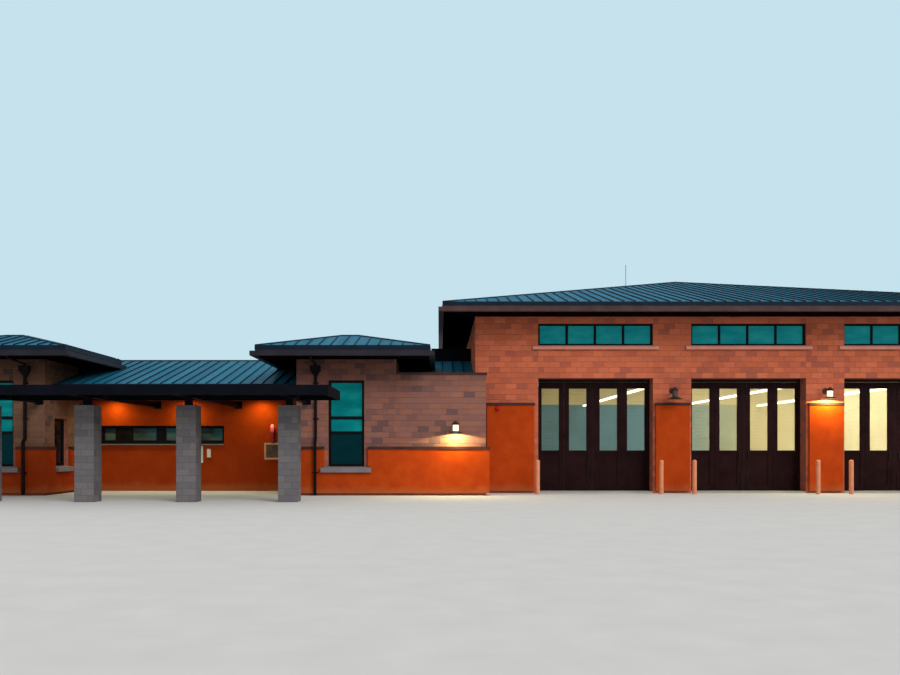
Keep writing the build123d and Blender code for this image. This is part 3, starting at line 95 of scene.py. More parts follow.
class Finish(Network):
    # A material of one shader, with patterns that lie on Object coordinates
    def __init__(self, name, roughness, metallic=0.0, specular=0.12):
        self.material = bpy.data.materials.new(name)
        self.material.use_nodes = True
        super().__init__(self.material.node_tree)
        self.shader = self.tree.nodes["Principled BSDF"]
        self.set(Specular_IOR_Level=specular, Roughness=roughness, Metallic=metallic)
        self.place = self.node("TexCoord").outputs["Object"]

    def set(self, **sockets):
        for name, value in sockets.items():
            self.plug(self.shader.inputs[name.replace("_", " ")], value)

    def split(self, vector=None):
        return self.node("SeparateXYZ", [(0, vector or self.place)]).outputs

    def geometry(self, output):
        return self.node("NewGeometry").outputs[output]

    def facing(self):
        return self.split(self.geometry("Normal"))

    def stretched(self, *scale):
        return self.node("Mapping", [("Vector", self.place), ("Scale", scale)]).outputs[0]

    def noise(self, scale, detail=3.0, roughness=0.5, vector=None):
        values = [("Vector", vector or self.place), ("Scale", scale), ("Detail", detail), ("Roughness", roughness)]
        return self.node("TexNoise", values).outputs["Fac"]

    def tones(self, value, *stops, steps=False):
        # A ramp through grey levels or colours, each at its position
        ramp = self.node("ValToRGB", [(0, value)])
        if steps:
            ramp.color_ramp.interpolation = "CONSTANT"
        elements = ramp.color_ramp.elements
        while len(elements) < len(stops):
            elements.new(0.5)
        for element, (position, shade) in zip(elements, stops):
            element.position = position
            element.color = colour(*shade) if isinstance(shade, (tuple, list)) else (shade, shade, shade, 1.0)
        return ramp.outputs[0]

    def fade(self, value, first, second):
        # From one tone to the other over the middle of a noise
        return self.tones(value, (0.3, first), (0.7, second))

    def times(self, first, second, factor=1.0):
        return self.mix(factor, first, second, "MULTIPLY")

    def raise_surface(self, height, depth, strength=1.0):
        values = [("Height", height), ("Distance", depth), ("Strength", strength)]
        self.set(Normal=self.node("Bump", values).outputs[0])

    def dress(self, *names):
        # CAD nodes keep their shape and take this finish
        for name in names:
            nodes[name].data.materials.clear()
            nodes[name].data.materials.append(self.material)


def only(*objects):
    bpy.ops.object.select_all(action="DESELECT")
    for obj in objects:
        obj.select_set(True)
    bpy.context.view_layer.objects.active = objects[0]


def editing(obj, elements="FACE"):
    only(obj)
    bpy.ops.object.mode_set(mode="EDIT")
    bpy.ops.mesh.select_mode(type=elements)


def done():
    bpy.ops.object.mode_set(mode="OBJECT")


def choose(obj, test, elements="faces"):
    # Opens a piece for editing, and selects just the faces or edges that pass the test
    if obj.mode == "OBJECT":
        editing(obj, {"faces": "FACE", "edges": "EDGE"}[elements])
    mesh = bmesh.from_edit_mesh(obj.data)
    bpy.ops.mesh.select_all(action="DESELECT")
    for item in getattr(mesh, elements):
        corners = [vert.co for vert in item.verts]
        item.select_set(test(sum(corners, Vector()) / len(corners), item))
    mesh.select_flush_mode()
    bmesh.update_edit_mesh(obj.data)


def copy_of(obj):
    twin = obj.copy()
    twin.data = obj.data.copy()
    bpy.context.collection.objects.link(twin)
    return twin


def put(obj, place=(0, 0, 0), turn=(0, 0, 0)):
    # Moves a piece and leaves its place in its mesh
    obj.location = place
    obj.rotation_euler = [math.radians(angle) for angle in turn]
    only(obj)
    bpy.ops.object.transform_apply()
    return obj


def modify(obj, kind, **settings):
    only(obj)
    modifier = obj.modifiers.new(kind.title(), kind)
    for key, value in settings.items():
        setattr(modifier, key, value)
    bpy.ops.object.modifier_apply(modifier=modifier.name)
    return obj


def row_of(obj, count, step):
    return modify(
        obj, "ARRAY", count=count, use_relative_offset=False, use_constant_offset=True, constant_offset_displace=step
    )


def joined(objects, name, finish):
    # Makes one named piece in one finish, which rides on the fixed body
    only(*objects)
    if len(objects) > 1:
        bpy.ops.object.join()
    piece = objects[0]
    piece.name = name
    piece.data.name = name
    piece.data.materials.clear()
    piece.data.materials.append(finish.material)
    for polygon in piece.data.polygons:
        polygon.material_index = 0
    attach(piece, "root")


def newest():
    return bpy.context.view_layer.objects.active


def box_piece(low, high, bevel=0.0, segments=1):
    middle = [(a + b) / 2 for a, b in zip(low, high)]
    size = [b - a for a, b in zip(low, high)]
    bpy.ops.mesh.primitive_cube_add(size=1, location=middle, scale=size)
    made = newest()
    bpy.ops.object.transform_apply()
    if bevel:
        modify(made, "BEVEL", width=bevel, segments=segments, limit_method="ANGLE")
    return made


def trim(obj, point, direction):
    # Cuts off what lies beyond the plane and closes the cut
    editing(obj)
    bpy.ops.mesh.select_all(action="SELECT")
    bpy.ops.mesh.bisect(plane_co=point, plane_no=direction, use_fill=True, clear_outer=True)
    done()
    return obj


block = box_piece((joint / 2, -proud, joint / 2), (block_length - joint / 2, bedded, course - joint / 2))
choose(block, lambda middle, edge: middle.y < -proud * 0.9, "edges")
bpy.ops.mesh.bevel(offset=arris, segments=1)
done()


def lay_blocks(left, right, low, high, phase):
    # Two courses in bond, repeated up the panel and then cut to its four edges
    first = math.floor((left - phase) / block_length) - 1
    row = 2 * math.floor(low / course / 2)
    count = math.ceil((right - phase) / block_length) - first + 1
    start = phase + first * block_length
    lower = put(copy_of(block), (start, 0, row * course))
    upper = put(copy_of(block), (start + block_length / 2, 0, (row + 1) * course))
    only(lower, upper)
    bpy.ops.object.join()
    field = row_of(lower, count, (block_length, 0, 0))
    row_of(field, math.ceil((high / course - row) / 2), (0, 0, 2 * course))
    for point, direction in (
        ((left, 0, 0), (-1, 0, 0)),
        ((right, 0, 0), (1, 0, 0)),
        ((0, 0, low), (0, 0, -1)),
        ((0, 0, high), (0, 0, 1)),
    ):
        trim(field, point, direction)
    return field


def panels(left, right, low, high, holes=()):
    # The rectangles of wall that are left round its openings
    cuts = sorted({left, right, *[edge for hole in holes for edge in hole[:2]]})
    for start, end in zip(cuts[:-1], cuts[1:]):
        level = low
        for hole in sorted(holes, key=lambda opening: opening[2]):
            if hole[0] <= start and end <= hole[1]:
                if hole[2] > level + 0.001:
                    yield start, end, level, hole[2]
                level = hole[3]
        if high > level + 0.001:
            yield start, end, level, high


turns = {"street": 0, "east": 90, "rear": 180, "west": -90}


def block_wall(facing, face, left, right, low, high, holes=(), phase=0.0):
    # Left and right are along X on the street and rear walls, and along Y on the side walls
    turned = facing in ("rear", "west")
    laid = []
    for start, end, bottom, top in panels(left, right, low, high, holes):
        if turned:
            start, end = -end, -start
        field = lay_blocks(start, end, bottom, top, -phase if turned else phase)
        place = (0, face, 0) if facing in ("street", "rear") else (face, 0, 0)
        laid.append(put(field, place, (0, 0, turns[facing])))
    return laid


bay_pitch = 2.8448
pier_x = bay_pitch / 2
bay_centres = (-bay_pitch, 0.0, bay_pitch)
bay_half = 1.0668
bay_head = 21 * course
clerestory = (27 * course, 31 * course)
wall_top = 3.275
bay_holes = [(x - bay_half, x + bay_half, 0.0, bay_head) for x in bay_centres]
high_holes = [(x - bay_half, x + bay_half, *clerestory) for x in bay_centres]
jamb_phase = block_length / 4


def block_finish(name, block_tones, west_shade_tint=(1.0, 1.0, 1.0), eaves_shade_level=1.0):
    # One tone a block, with stone speckle and broad weathering over them. The low walls are painted
    # darker and olive towards the west end, and darker under their eaves, both as painted shade.
    finish = Finish(name, 0.93)
    island = finish.geometry("Random Per Island")
    stops = [(number / len(block_tones), tint) for number, tint in enumerate(block_tones)]
    tone = finish.tones(island, *stops, steps=True)
    speckle = finish.fade(finish.noise(70, 6, 0.7), 0.72, 1.12)
    cloud = finish.fade(finish.noise(1.1, 3), 0.9, 1.06)
    shade = finish.times(finish.times(tone, speckle), cloud)
    x, y, z = finish.split()
    # Painted shade: from x -9 westwards the low walls darken and turn olive, most on the left tower
    west = finish.maths("MULTIPLY_ADD", x, -0.27, -2.43)
    shade = finish.mix(west, shade, finish.times(shade, (*west_shade_tint, 1.0)))
    # Painted shade under the eaves, darkening the blocks from 1.8 m up
    painted_eaves_shade = finish.tones(finish.maths("SUBTRACT", z, 1.5), (0.3, 1.0), (0.85, eaves_shade_level))
    finish.set(Base_Color=finish.times(shade, painted_eaves_shade))
    finish.raise_surface(finish.maths("ADD", finish.noise(45, 5, 0.7), finish.noise(190, 3)), 0.0035)
    return finish


hall_block_tones = [
    (206, 109, 76), (197, 103, 72), (213, 114, 81), (192, 101, 73), (203, 110, 80), (199, 105, 76),
    (209, 112, 79), (186, 98, 73), (202, 107, 75), (174, 94, 73),
]
# The low walls' tones are darker than the hall's, partly as painted shade
low_block_tones = [
    (150, 102, 88), (143, 98, 87), (156, 107, 91), (139, 96, 88), (147, 101, 90), (153, 102, 86),
    (130, 92, 86), (145, 99, 88), (149, 103, 91), (115, 85, 83),
]
hall_block = block_finish("hall_split_block", hall_block_tones)
# The olive tint and the 0.6 are the painted shade of the west end and of the eaves
low_block = block_finish("low_split_block", low_block_tones, (0.64, 0.73, 0.58), 0.6)

quarters_rear = -0.576
over_quarters = 16 * course
hall_walls = {
    "street": [(-hall_half, -hall_half, hall_half, 0, wall_top, bay_holes + high_holes, jamb_phase)],
    "rear": [(hall_half, -hall_half, hall_half, band_top, wall_top, high_holes, jamb_phase)],
    "east": [(hall_half, -hall_half, hall_half, band_top, wall_top)],
    "west": [
        (-hall_half, -hall_half, hall_half, over_quarters, wall_top),
        (-hall_half, quarters_rear + proud, hall_half, band_top, over_quarters),
    ],
}
for facing, fields in hall_walls.items():
    laid = [piece for field in fields for piece in block_wall(facing, *field)]
    joined(laid, f"hall_{facing}_blocks", hall_block)

tower_top = 2.4
tower_window = (5 * course, 20 * course)
tower_window_half = 0.3175
side_window_half = 0.26
entry_half = 0.254
over_low_wall = 1.9
over_quarters_roof = 2.2
tower_blocks = []
for west, east in towers.values():
    middle = (west + east) / 2
    window = [(middle - tower_window_half, middle + tower_window_half, *tower_window)]
    tower_blocks += block_wall("street", street_line, west, east, band_top, tower_top, window, porch_east)
    tower_blocks += block_wall("rear", tower_back, west, east, over_quarters_roof, tower_top, (), porch_east)
side_window = [(side_opening_y - side_window_half, side_opening_y + side_window_half, tower_window[0], 13.5 * course)]
entry_opening = [(side_opening_y - entry_half, side_opening_y + entry_half, 0.0, 10.5 * course)]
for facing, face, holes in (
    ("west", towers["left"][0], []), ("east", porch_west, side_window),
    ("west", porch_east, entry_opening), ("east", towers["right"][1], []),
):
    low = over_low_wall if face == towers["right"][1] else band_top
    tower_blocks += block_wall(facing, face, street_line, tower_back, low, tower_top, holes, street_line)
quarters_top = 18 * course
for facing, face in (("east", porch_west), ("west", porch_east)):
    tower_blocks += block_wall(facing, face, tower_back, entry_face, band_top, quarters_top, (), street_line)
joined(tower_blocks, "tower_blocks", low_block)

low_wall_end = -4.9276
low_wall_top = 21 * course
low_blocks = block_wall("street", street_line, towers["right"][1], low_wall_end, band_top, low_wall_top, (), porch_east)
low_blocks += block_wall("east", low_wall_end, street_line, -hall_half, band_top, low_wall_top, (), street_line)
joined(low_blocks, "low_wall_blocks", low_block)

quarters_left = towers["left"][0]
slope = 0.25
ridge_y = -2.818
ridge_z = 2.65425
gable_top = 2.7
rear_middle = (quarters_left - hall_half) / 2
ribbon_half = 1.208
rear_ribbon = [(rear_middle - ribbon_half, rear_middle + ribbon_half, 0.915, 1.27)]
quarters_blocks = block_wall(
    "rear", quarters_rear, quarters_left, -hall_half, band_top, quarters_top, rear_ribbon, quarters_left
)
joined(quarters_blocks, "quarters_rear_blocks", low_block)
gable = block_wall("west", quarters_left, tower_back, quarters_rear, band_top, gable_top, (), quarters_rear)[0]
for direction in (-1, 1):
    trim(gable, (quarters_left, ridge_y, ridge_z), (0, direction * slope, 1))
trim(gable, (0, quarters_rear - 0.002, 0), (0, 1, 0))
joined([gable], "quarters_gable_blocks", low_block)


# The wall behind the block faces, which shows as raked mortar and in the reveals. Indoors the
# hall is painted cream over a grey-green zone, and elsewhere the same bond shows as a pattern.
# On the rear wall both paints lighten towards the east, as painted light.
def wall_behind(name, inside=None):
    mortar_tint = (132, 92, 80) if inside is None else (170, 98, 76)
    finish = Finish(name, 0.95)
    x, y, z = finish.split()
    facing = finish.facing()
    sideways = finish.above(finish.maths("ABSOLUTE", facing[0]), 0.5)
    across = finish.node("Mix", [(0, sideways), (2, x), (3, y)]).outputs[0]
    flat = finish.node("CombineXYZ", [(0, across), (1, z)]).outputs[0]
    brick = finish.node(
        "TexBrick",
        [("Vector", flat), ("Scale", 1.0), ("Mortar Size", joint / 2), ("Brick Width", block_length),
         ("Row Height", course), ("Color1", colour(176, 102, 80)), ("Color2", colour(146, 92, 78)),
         ("Mortar", colour(*mortar_tint)), ("Mortar Smooth", 0.2)],
        offset=0.5, offset_frequency=2,
    )
    grit = finish.fade(finish.noise(70, 6, 0.7), 0.75, 1.1)
    shade = finish.times(brick.outputs["Color"], grit)
    if inside is not None:
        indoors = finish.below(finish.maths("MULTIPLY", facing[inside], (x, y)[inside]), -0.5)
        cream = finish.fade(finish.noise(2.0), (222, 210, 170), (230, 219, 182))
        if inside == 1:
            # Painted light: the rear wall's cream brightens towards the east, most behind the right bay
            cream = finish.tones(finish.maths("DIVIDE", x, 5.0), (0.7, (200, 188, 150)), (0.95, (244, 234, 196)))
        # The grey-green is the rear doors' real paint, and its lightening towards the east is painted light
        dado = finish.tones(finish.maths("DIVIDE", x, 4.0), (0.2, (108, 141, 156)), (0.8, (172, 174, 148)))
        dado = finish.times(dado, finish.fade(finish.noise(2.0), 0.8, 1.0), 0.5)
        low_down = finish.below(z, bay_head if inside == 1 else 0.4)
        behind_doors = finish.below(x, 3.3)
        painted = finish.mix(finish.maths("MULTIPLY", low_down, behind_doors), cream, dado)
        shade = finish.mix(indoors, shade, painted)
    finish.set(Base_Color=shade)
    finish.raise_surface(finish.maths("SUBTRACT", finish.noise(60, 5, 0.7), brick.outputs["Fac"]), 0.004)
    return finish


wall_behind("mortar_and_paint_street", 1).dress("hall_front_wall", "hall_rear_wall")
wall_behind("mortar_and_paint_sides", 0).dress("hall_side_walls")
wall_behind("mortar").dress("tower_walls", "low_wall", "quarters_walls")

# PORCH COLUMNS
# Four square columns of paler ground-face blocks, a whole block wide, with the joints broken from
# course to course, and the steel post of the canopy standing on each.
column_xs = (-12.81575, -11.24075, -9.66575, -8.09075)
column_y = -7.671
column_half = 0.15
column_top = 14.75 * course
column_blocks = []
for x in column_xs:
    for facing, face, near in (
        ("street", column_y - column_half, x), ("rear", column_y + column_half, x),
        ("east", x + column_half, column_y), ("west", x - column_half, column_y),
    ):
        column_blocks += block_wall(
            facing, face, near - column_half, near + column_half, 0, column_top, (), near - column_half
        )


def cloudy(name, roughness, grain, dark, light, relief=None, depth=0.0):
    # A colour that drifts between two tones over a fine relief. Grain and relief are noises.
    finish = Finish(name, roughness)
    finish.set(Base_Color=finish.fade(finish.noise(*grain), dark, light))
    if relief:
        finish.raise_surface(finish.noise(*relief), depth)
    return finish


ground_face = Finish("ground_block", 0.88)
island = ground_face.geometry("Random Per Island")
column_tones = [
    (0.0, (112, 108, 110)), (0.25, (108, 104, 107)), (0.45, (116, 111, 112)), (0.65, (105, 102, 106)),
    (0.8, (111, 107, 109)), (0.92, (99, 96, 101)),
]
tone = ground_face.tones(island, *column_tones, steps=True)
speckle = ground_face.tones(ground_face.noise(110, 5, 0.75), (0.32, 0.78), (0.68, 1.1))
ground_face.set(Base_Color=ground_face.times(tone, speckle))
ground_face.raise_surface(ground_face.noise(120, 4, 0.7), 0.002)
joined(column_blocks, "column_blocks", ground_face)
column_core = cloudy("column_mortar", 0.95, (90, 5, 0.7), (86, 83, 85), (106, 102, 103), (160, 3), 0.002)
column_core.dress("canopy_columns")

bpy.data.objects.remove(block)

# STUCCO
# Trowelled orange stucco on the porch wall, on the low band round the building and on the panels
# of the bay piers, a little dusty at the foot, with folded dark caps over the band and panels.
# From the porch westwards it is painted darker, as painted shade under the canopy.
stucco = Finish("orange_stucco", 0.9)
x, y, height_up = stucco.split()
west = stucco.maths("MULTIPLY_ADD", x, -1.4, -11.6)
trowel = stucco.noise(5, 5, 0.6)
patch = stucco.noise(0.9, 3)
shade = stucco.tones(trowel, (0.25, (163, 54, 8)), (0.5, (173, 61, 10)), (0.78, (184, 70, 13)))
shade = stucco.times(shade, stucco.fade(patch, 0.86, 1.08), 0.6)
# Painted shade: about a quarter darker from the porch westwards
shade = stucco.times(shade, stucco.tones(west, (0.0, 1.0), (1.0, 0.74)))
splash = stucco.maths("ADD", height_up, stucco.maths("MULTIPLY", trowel, -0.14))
dusty = stucco.tones(splash, (0.0, 0.55), (0.11, 0.0))
stucco.set(Base_Color=stucco.mix(dusty, shade, colour(160, 92, 52)))
sand = stucco.maths("ADD", stucco.noise(230, 3, 0.6), stucco.maths("MULTIPLY", trowel, 3.0))
stucco.raise_surface(sand, 0.0012)
stucco.dress("pilaster_panels", "wainscot", "entry_wall")


def painted_metal(name, base, roughness=0.45, spread=14, metallic=0.0, specular=0.12):
    # Shop-painted sheet or steel: a faint cloudiness, uneven gloss and handling marks
    finish = Finish(name, roughness, metallic, specular)
    cloud = finish.noise(3.5, 4, 0.6)
    darker = [max(part - spread, 0) for part in base]
    lighter = [part + spread for part in base]
    scuffs = finish.noise(4, 6, 0.75, vector=finish.stretched(9, 9, 60))
    shade = finish.times(finish.fade(cloud, darker, lighter), finish.tones(scuffs, (0.35, 0.72), (0.65, 1.15)), 0.35)
    gloss = finish.fade(scuffs, roughness - 0.08, roughness + 0.14)
    finish.set(Base_Color=shade, Roughness=gloss)
    finish.raise_surface(finish.noise(14, 2), 0.0012)
    return finish


dark_bronze = painted_metal("dark_bronze", (20, 16, 17), 0.42, 5, specular=0.06)
painted_metal("cap_brown", (66, 38, 34), 0.45, 7).dress("low_wall_coping", "stucco_caps")

# STANDING-SEAM ROOFS
# Coil-coated blue-green steel pans locked together every 16 inches, at half size. The seams are
# folded ribs from eave to hip or ridge, and stop at the hip caps. The ribs are painted far darker
# than the pans, as painted shade, and the caps and drip edges take the same dark finish.
seam_pitch = 0.2032
seam_width = 0.006
seam_head = 0.015
seam_height = 0.022
seam_lip, seam_fold = 0.001, 0.008
pitch_angle = math.degrees(math.atan(slope))
hip_cap_half = 0.047

pans = Finish("coil_coated_steel", 0.5, specular=0.05)
x, y, z = pans.split()
facing = pans.facing()
end_slope = pans.above(pans.maths("ABSOLUTE", facing[0]), pans.maths("ABSOLUTE", facing[1]))
across = pans.node("Mix", [(0, end_slope), (2, x), (3, y)]).outputs[0]
down = pans.node("Mix", [(0, end_slope), (2, y), (3, x)]).outputs[0]
pan_number = pans.maths("FLOOR", pans.maths("DIVIDE", across, seam_pitch))
pan_tint = pans.node("TexWhiteNoise", [("W", pan_number)], noise_dimensions="1D").outputs["Value"]
shade = pans.tones(pan_tint, (0.0, (18, 93, 120)), (0.5, (24, 101, 129)), (1.0, (33, 110, 137)))
run = pans.node("CombineXYZ", [(0, pans.maths("MULTIPLY", across, 9.0)), (1, down)]).outputs[0]
streaks = pans.noise(1.6, 5, 0.65, vector=run)
shade = pans.times(shade, pans.fade(streaks, 0.82, 1.12), 0.6)
pans.set(Base_Color=shade, Roughness=pans.fade(streaks, 0.42, 0.6))
pans.raise_surface(pans.noise(2.2, 2), 0.01, 0.6)
# Painted shade: the seam ribs are far darker than the pans they are folded from
seam_shade_paint = painted_metal("seam_steel_painted_shade", (10, 30, 45), 0.5, 5)
pans.dress("hall_roof", "tower_roofs", "quarters_roof")
seam_shade_paint.dress("hall_hip_caps", "tower_hip_caps", "quarters_ridge_cap")


def extrude(*move):
    bpy.ops.mesh.extrude_region_move(TRANSFORM_OT_translate={"value": move})


def one_seam(length):
    # A thin upstand with a wider folded head, its foot just under the pans
    seam = box_piece((-seam_width / 2, 0, -0.002), (seam_width / 2, length, seam_height - seam_fold - seam_lip))
    choose(seam, lambda middle, face: face.normal.z > 0.5)
    extrude(0, 0, seam_lip)
    bpy.ops.transform.resize(value=(seam_head / seam_width, 1, 1))
    extrude(0, 0, seam_fold)
    bpy.ops.transform.resize(value=(0.7, 1, 1))
    done()
    return seam


def slope_seams(half_x, half_y, edge_height):
    # The street slope, cut to its hips and to the ridge or peak
    count = math.ceil(half_x / seam_pitch) - 1
    run_length = half_y / math.cos(math.radians(pitch_angle)) + 0.02
    field = row_of(one_seam(run_length), 2 * count + 1, (seam_pitch, 0, 0))
    put(field, (-count * seam_pitch, -half_y, edge_height), (pitch_angle, 0, 0))
    for side in (-1, 1):
        trim(field, (0, half_x - half_y - hip_cap_half * 2 ** 0.5, 0), (side, 1, 0))
    trim(field, (0, -hip_cap_half, 0), (0, 1, 0))
    return trim(field, (0, -half_y + 0.004, 0), (0, -1, 0))


def all_round(centre_x, centre_y, street_side, end_side):
    # Two sides, both made in the place of the street side, go round a roof twice each
    sides = []
    for side, quarters in ((street_side, (0, 2)), (end_side, (1, 3))):
        sides += [put(copy_of(side), turn=(0, 0, quarter * 90)) for quarter in quarters]
        bpy.data.objects.remove(side)
    return [put(side, (centre_x, centre_y, 0)) for side in sides]


def hip_seams(x, y, half_x, half_y, edge_height):
    return all_round(x, y, slope_seams(half_x, half_y, edge_height), slope_seams(half_y, half_x, edge_height))


# The middle and half size of each hipped roof, and the height of its edge
hall_roof_plan = (0, 0, 5.69, 5.69)
hall_edge = 3.455
tower_middle = (street_line + tower_back) / 2
tower_roof_plans = [((west + east) / 2, tower_middle, 1.4875, 1.33) for west, east in towers.values()]
tower_edge = 2.58
joined(hip_seams(*hall_roof_plan, hall_edge), "hall_roof_seams", seam_shade_paint)
tower_seams = [piece for plan in tower_roof_plans for piece in hip_seams(*plan, tower_edge)]
joined(tower_seams, "tower_roof_seams", seam_shade_paint)

porch_eave = -5.595
rear_eave = -0.041
eave_height = 18 * course + 0.1312 + 0.03
quarters_roof_left = -14.5275
screen_west, screen_front, screen_back = -5.9, -2.9, -1.5
quarters_seams = []
for number in range(math.floor((-hall_half - quarters_roof_left) / seam_pitch)):
    seam_x = quarters_roof_left + (number + 0.5) * seam_pitch
    start_y = porch_eave if porch_west < seam_x < porch_east else street_line + 0.16
    if any(west - 0.1 < seam_x < east + 0.02 for west, east in towers.values()):
        start_y = tower_back + 0.01
    front_end, rear_end = ridge_y - 0.06, ridge_y + 0.06
    if seam_x > screen_west - 0.02:
        front_end, rear_end = screen_front - 0.01, screen_back + 0.01
    for from_y, to_y, rise, turn in (
        (start_y, front_end, start_y - porch_eave, 0), (rear_eave, rear_end, 0, 180),
    ):
        seam = one_seam(abs(to_y - from_y) / math.cos(math.radians(pitch_angle)))
        put(seam, turn=(pitch_angle, 0, 0))
        quarters_seams.append(put(seam, (seam_x, from_y, eave_height + rise * slope), (0, 0, turn)))
joined(quarters_seams, "quarters_roof_seams", seam_shade_paint)

# EAVES AND GUTTERS
# Brown painted fascias, boarded soffits and box gutters. Straps cross the open gutters about
# every 2 ft at half size and screw to the fascia, and a drip edge turns down into them. On the
# towers and quarters the fascias, gutters and straps are painted darker and bluer, and the soffit
# undersides near black, as painted shade.
eaves_paint = painted_metal("eaves_brown", (76, 54, 53), 0.5, 8)
# Painted shade: the hall's fascia brown, darkened and turned bluer for the low eaves
shaded_eaves_paint = painted_metal("low_eaves_painted_shade", (42, 38, 46), 0.5, 6)
soffit = Finish("soffit_panels", 0.8, specular=0.0)
x, y, z = soffit.split()
facing = soffit.facing()
underside = soffit.below(facing[2], -0.5)
board_pitch, gap_share = 0.3048, 0.022
gaps = [
    soffit.below(soffit.maths("FRACT", soffit.maths("DIVIDE", along, board_pitch)), gap_share) for along in (x, y)
]
lines = soffit.maths("MULTIPLY", soffit.maths("MAXIMUM", *gaps), underside)
cloud = soffit.noise(4, 4)
painted = soffit.fade(cloud, (44, 34, 36), (52, 40, 41))
# Painted shade: the undersides are near black, darker than the other faces of the boards
shade = soffit.mix(underside, painted, soffit.fade(cloud, (11, 8, 9), (17, 13, 13)))
soffit.set(Base_Color=soffit.mix(lines, shade, colour(7, 5, 6)))
soffit.raise_surface(soffit.maths("MULTIPLY", lines, -1.0), 0.003)
soffit.dress("hall_eaves", "tower_eaves", "quarters_eaves")
eaves_paint.dress("hall_fascia", "hall_gutter")
shaded_eaves_paint.dress("tower_fascias", "quarters_fascias", "tower_gutters", "quarters_gutters")


def gutter_straps(count, pitch, edge, top):
    # A row of bent straps along one gutter, in the place of the street side
    half_width, reach, thick = 0.007, 0.074, 0.003
    strap = box_piece((-half_width, -reach, -thick), (half_width, 0.0, 0.0))
    choose(strap, lambda middle, face: face.normal.y > 0.5)
    extrude(0, -0.002, 0)
    done()
    field = row_of(strap, count, (pitch, 0, 0))
    return put(field, (-(count - 1) * pitch / 2, edge, top))


def ring_of_straps(x, y, half_x, half_y, top, counts, pitch):
    street_side = gutter_straps(counts[0], pitch, -half_y, top)
    return all_round(x, y, street_side, gutter_straps(counts[1], pitch, -half_x, top))


strap_drop = 0.102
low_strap_top = 1.9068
hall_straps = ring_of_straps(*hall_roof_plan, hall_edge - strap_drop, (37, 37), 0.305)
joined(hall_straps, "hall_gutter_straps", eaves_paint)
straps = []
for plan in tower_roof_plans:
    straps += ring_of_straps(*plan, tower_edge - strap_drop, (9, 8), 0.33)
porch_middle = (porch_west + porch_east) / 2
straps.append(put(gutter_straps(9, 0.33, porch_eave, low_strap_top), (porch_middle, 0, 0)))
quarters_middle = (quarters_roof_left - hall_half) / 2
rear_straps = put(gutter_straps(29, 0.32, 0, low_strap_top), turn=(0, 0, 180))
straps.append(put(rear_straps, (quarters_middle, rear_eave, 0)))
joined(straps, "low_gutter_straps", shaded_eaves_paint)


drip_thick = 0.003


# A dark drip edge covers the cut edge of the roof sheets and kicks out over the gutter
def drip_edge(length, edge_y=0, level=0):
    strip = box_piece((-length / 2, -drip_thick, -0.022), (length / 2, 0, 0.033))
    choose(strip, lambda middle, face: face.normal.z < -0.5)
    extrude(0, -0.006, -0.009)
    done()
    return put(strip, (0, edge_y, level))


def ring_of_drips(x, y, half_x, half_y, level):
    street_side = drip_edge(2 * (half_x + drip_thick), -half_y, level)
    return all_round(x, y, street_side, drip_edge(2 * (half_y + drip_thick), -half_x, level))


drip_drop = 0.03
drips = ring_of_drips(*hall_roof_plan, hall_edge - drip_drop)
for plan in tower_roof_plans:
    drips += ring_of_drips(*plan, tower_edge - drip_drop)
low_drip = eave_height - drip_drop
drips.append(put(drip_edge(porch_east - porch_west), (porch_middle, porch_eave, low_drip)))
rear_drip = put(drip_edge(-hall_half - quarters_roof_left), turn=(0, 0, 180))
drips.append(put(rear_drip, (quarters_middle, rear_eave, low_drip)))
joined(drips, "drip_edges", seam_shade_paint)

# FLOORS AND SILLS
# Slabs of trowelled concrete, and precast sills with a chamfered top edge. The sills are one
# stone, tan under the high windows as painted warm light, and grey under the low ones as painted shade.
concrete = cloudy("cast_concrete", 0.85, (1.5, 6, 0.65), (150, 146, 138), (172, 167, 158), (40, 4), 0.001)
concrete.dress("hall_floor", "quarters_floor")
precast = Finish("precast_sill", 0.8)
pores = precast.noise(130, 4, 0.7)
tan = precast.fade(precast.noise(6, 4), (198, 132, 116), (212, 146, 130))
grey = precast.fade(precast.noise(6, 4), (116, 110, 114), (130, 123, 127))
# Painted light and shade: tan above 2.6 m and grey below, on the same precast
shade = precast.mix(precast.above(precast.split()[2], 2.6), grey, tan)
precast.set(Base_Color=precast.times(shade, precast.tones(pores, (0.35, 0.75), (0.5, 1.05)), 0.5))
precast.raise_surface(pores, 0.0012)
precast.dress("window_sills")

# ROOF EQUIPMENT SCREEN
# Dark sheet steel panels round the equipment behind the right tower, stiffened by upright battens
# and capped with a folded rim.
screen_paint = painted_metal("screen_navy", (12, 14, 24), 0.5, 5, specular=0.05)
screen_paint.dress("equipment_screen")
screen_foot, screen_top = 2.36, 2.93
batten_pitch = 0.06
rim = 0.016
battens = []
for count, x, y, turn in (
    (14, screen_west + batten_pitch / 2, screen_front, 0),
    (24, screen_west, screen_back - batten_pitch / 2, -90),
    (14, -hall_half - batten_pitch / 2, screen_back, 180),
):
    batten = box_piece((-0.008, -0.01, screen_foot), (0.008, 0.0, screen_top - 0.02), 0.002)
    battens.append(put(row_of(batten, count, (batten_pitch, 0, 0)), (x, y, 0), (0, 0, turn)))
capping = box_piece(
    (screen_west - rim, screen_front - rim, screen_top - 0.024), (-hall_half, screen_back + rim, screen_top)
)
choose(capping, lambda middle, face: abs(face.normal.z) > 0.5)
bpy.ops.mesh.delete(type="FACE")
bpy.ops.mesh.select_all(action="SELECT")
bpy.ops.mesh.extrude_region_shrink_fatten(TRANSFORM_OT_shrink_fatten={"value": -0.006})
done()
joined(battens + [capping], "screen_battens", screen_paint)

# WINDOWS
# Dark bronze aluminium frames with snapped-in beads round every pane of tinted glass. The glass
# colour is a painted reflection of a teal sky, darker low down and in the side and ribbon windows.
dark_bronze.dress("clerestory_frames", "window_frames", "entry_door_frame", "entry_door")

